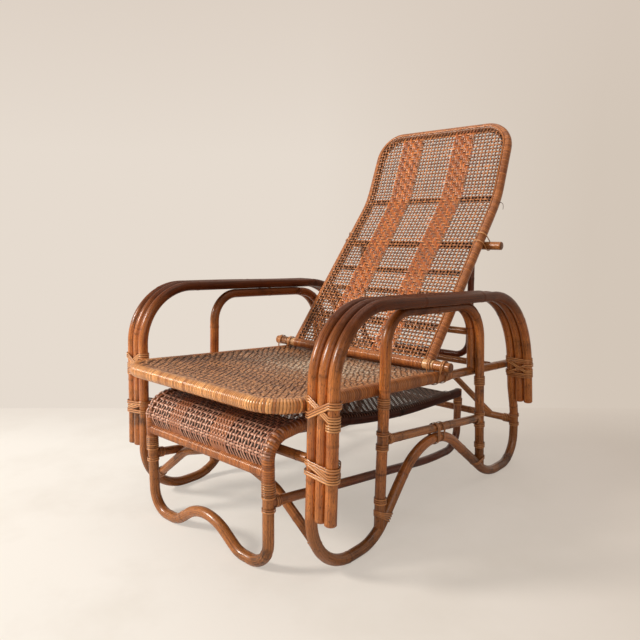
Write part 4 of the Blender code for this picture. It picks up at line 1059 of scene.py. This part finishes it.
# first turn along the pole from the crossing, and how many turns
tie = {"seat": (-0.0345, 5), "railAbove": (0.0125, 2), "railBelow": (-0.0215, 3), "beside": poleR + 0.0035,
       "footFrom": 0.026, "footEvery": 0.0042, "footCollar": 0.06, "footTurns": {"front": 4, "rear": 2},
       "footLean": {"front": -0.010, "rear": -0.006}, "wave": (-0.0175, -0.0135, -0.0095, 0.0095, 0.0135),
       "heelAbove": (0.0120, 2), "heelBelow": (-0.0160, 2), "heelBar": 4, "brace": (0.020, 4),
       "splice": (-0.0235, 6), "bowAbove": (0.0125, 2), "bowBelow": (-0.0165, 2), "restEnd": (-0.0330, 4)}
heelUp = (0, passing(soleSide, 2, heelZ + 0.01) - passing(soleSide, 2, heelZ - 0.01), 0.02)
legUp = {"front": unit((0, arch["frontY"] - arch["footY"], archTop - archFoot)),
         "rear": unit((0, arch["rearY"] - arch["heelY"], archBack - archHeel))}
slopes = {"front": hill[hill[:, 1] < crest[1]], "rear": hill[hill[:, 1] > crest[1]][::-1]}
lowerAlong = unit((0, 1, -arch["lowerFall"]))
for side, s in sides:
    x = s * armX
    for place, foot in (("front", archFoot), ("rear", archHeel)):
        rear, up, slope, tilt = place == "rear", legUp[place], slopes[place], tie["footLean"][place]
        y = archLegY(seatZ(arch[f"{place}Y"]), rear)
        bind(f"arch_{place}_seat_binding_{side}", "frame", collar((x, y, seatZ(y)), up, poleR, *tie["seat"]))
        y = archLegY(lowerZ(arch[f"{place}Y"]), rear)
        at = (x, y, lowerZ(y))
        bind(f"arch_{place}_rail_binding_{side}", "frame", collar(at, up, poleR, *tie["railAbove"]),
             collar(at, up, poleR, *tie["railBelow"]),
             collar(at, lowerAlong * (-1 if rear else 1), slimR, tie["beside"], 3))
        levels = foot + tie["footFrom"] + np.arange(tie["footTurns"][place]) * tie["footEvery"]
        pairs = [((x, archLegY(z, rear), z), (x, np.interp(z + tilt, slope[:, 2], slope[:, 1]), z + tilt))
                 for z in levels]
        z = foot + tie["footCollar"]
        bind(f"arch_{place}_foot_binding_{side}", "frame", roundPairs(pairs, poleR),
             collar((x, archLegY(z, rear), z), up, poleR, 0, 3))
    pairs = [((x, y, crest[2]), (x, y, lowerZ(y))) for y in (crest[1] + step for step in tie["wave"])]
    bind(f"wave_binding_{side}", "frame", roundPairs(pairs, poleR))
    at = (x, heelY, heelZ)
    bind(f"heel_binding_{side}", "frame", collar(at, heelUp, poleR, *tie["heelAbove"]),
         collar(at, heelUp, poleR, *tie["heelBelow"]), collar(at, (-s, 0, 0), slimR, tie["beside"], tie["heelBar"]))
    bind(f"brace_binding_{side}", "frame",
         collar((x, braceY, braceFoot), (s * (shoulderX - armX), 0, shoulderZ - braceFoot), slimR, *tie["brace"]))
    at = (s * restX, restY, lowZ(restY))
    bind(f"bow_binding_{side}", "footrest",
         collar((s * restX, restY, rest["spliceZ"]), upright, poleR, *tie["splice"]),
         collar(at, upright, poleR, *tie["bowAbove"]), collar(at, upright, poleR, *tie["bowBelow"]),
         collar(at, (0, 1, -rest["lowFall"]), slimR, tie["beside"], 3))
    bind(f"footrest_end_binding_{side}", "footrest",
         collar((s * restX, *rest["end"]), upright, slimR, *tie["restEnd"]))
# a loose end of cane sticks out beside the backrest
loose = {"along": 0.548, "from": 0.9, "reach": 0.0125, "curl": 1.9, "drop": 0.026, "rise": 0.25, "width": 0.0016,
         "thick": 0.0009}
u = np.linspace(0, 1, 12)
spot = onBack(backX(loose["along"]) + loose["from"] * backR, loose["along"])
path = spot + np.stack([loose["reach"] * np.sin(u * loose["curl"]), 0 * u,
                        loose["drop"] * (loose["rise"] * u - u * u)], 1)
strands("loose_cane", "backrest", darkCane, path[None], (0, -1, 0), loose["width"], loose["thick"],
        False)
print("lashings made")

# Floor, light and camera

stage = {"front": 6.0, "side": 8.0, "behind": 0.703, "floorTurn": (-0.5, 0.9), "farFrom": 0.30, "farShare": 0.8,
         "wallTurn": (0.0, 0.40), "wallRise": (0.12, 0.50), "unlit": 0.55, "farUnlit": 0.35, "stains": 2.6,
         "stainFrom": (0.45, 0.75), "stainShare": 0.35, "ambient": (0.26, 0.255, 0.25, 1)}
# painted light: floor and wall are paler on the left, where the light comes from, and darker to the right; the wall
# is darker towards its top
floorLitLeft, floorShadedRight, stain = map(srgb, ((244, 236, 225), (218, 204, 190), (214, 202, 186)))
wallLitLeft, wallShadedRight, wallShadedTop = map(srgb, ((230, 219, 207), (211, 198, 184), (214, 200, 187)))
black = (0, 0, 0, 1)
view = {"place": (1.0695, -0.8183, 0.6932), "yaw": 42.43, "down": 8.219, "lens": 34.34, "sensor": 36}
# place, aim, size, power, colour
lamps = {"key": ((-2.2, -3.2, 2.5), (0, 0, 0.4), 1.0, 180, (1.0, 0.98, 0.95)),
         "fill": ((2.6, -1.9, 1.6), (0, 0, 0.4), 2.0, 14, (1.0, 0.985, 0.97)),
         "top": ((0.2, 0.2, 3.4), (0, 0, 0), 2.6, 29, (1.0, 0.99, 0.98))}
yaw = math.radians(view["yaw"])
cosYaw, sinYaw = math.cos(yaw), math.sin(yaw)
# a level floor that ends where the photo's wall stands; the wall itself is the colour of the world
u, v = np.array((-1, 1, 1, -1)) * stage["side"], np.repeat((-stage["front"], stage["behind"]), 2)
sheet = np.stack([u * cosYaw - v * sinYaw, u * sinYaw + v * cosYaw, 0 * u], 1)
floorMesh = bpy.data.meshes.new("floor")
floorMesh.from_pydata(sheet.tolist(), [], [(0, 1, 2, 3)])
floor = bpy.data.objects.new("floor", floorMesh)
bpy.context.scene.collection.objects.link(floor)
paper = Finish("paper floor", specular=0.1)
tint = paper.noise(paper.place(), stage["stains"], 5, 0.62)
x, y, _ = paper.parts(paper.place())
# painted light across the floor: paler on the left, darker on the right
right = (x * cosYaw + y * sinYaw).clip(*stage["floorTurn"])
far = (y * cosYaw - x * sinYaw).clip(stage["farFrom"], stage["behind"])
tone = paper.blend(tint.clip(*stage["stainFrom"]) * stage["stainShare"], paper.blend(right, floorLitLeft, floorShadedRight),
                   stain)
tone = paper.blend(far * stage["farShare"], tone, paper.blend(right, wallLitLeft, wallShadedRight))
# the camera sees part of the floor's colour unlit, which keeps the shadow as pale as the photo's
unlit = paper.cameraRay() * (stage["unlit"] + far * stage["farUnlit"])
paper.set({"Emission Color": paper.blend(unlit, black, tone), "Emission Strength": 1})
floorMesh.materials.append(paper.done(paper.blend(unlit, tone, black), 0.9, tint, 0.0005))

for name, (place, towards, size, power, colour) in lamps.items():
    light = bpy.data.lights.new(name, "AREA")
    light.shape = "DISK"
    light.size, light.energy, light.color = size, power, colour
    obj = bpy.data.objects.new(name, light)
    bpy.context.scene.collection.objects.link(obj)
    obj.location = place
    aim = unit(np.subtract(towards, place))
    obj.rotation_euler = (math.acos(-aim[2]), 0, math.atan2(-aim[0], aim[1]))
world = bpy.data.worlds.new("studio")
world.use_nodes = True
sky = Nodes(world.node_tree)
seen = sky.cameraRay()
for ray in ("Is Glossy Ray", "Is Transmission Ray"):
    seen = seen.maths("MAXIMUM", seen, sky.node("ShaderNodeLightPath", {}, {}, ray))
x, y, z = sky.parts(sky.place("Generated"))
# painted light on the wall: paler on the left, darker to the right and towards the top
wall = sky.blend((x * cosYaw + y * sinYaw).clip(*stage["wallTurn"]), wallLitLeft, wallShadedRight)
wall = sky.blend(z.clip(*stage["wallRise"]), wall, wallShadedTop)
plug(sky.tree, sky.tree.nodes["Background"].inputs["Color"], sky.blend(seen, stage["ambient"], wall))
bpy.context.scene.world = world

camera = bpy.data.objects.new("camera", bpy.data.cameras.new("camera"))
bpy.context.scene.collection.objects.link(camera)
camera.location = np.add(view["place"], (0, shiftY, 0)).tolist()
camera.rotation_euler = (math.radians(90 - view["down"]), 0, yaw)
camera.data.lens = view["lens"]
camera.data.sensor_width = view["sensor"]
bpy.context.scene.camera = camera
bpy.context.scene.view_settings.view_transform = "Standard"

print("scene ready")
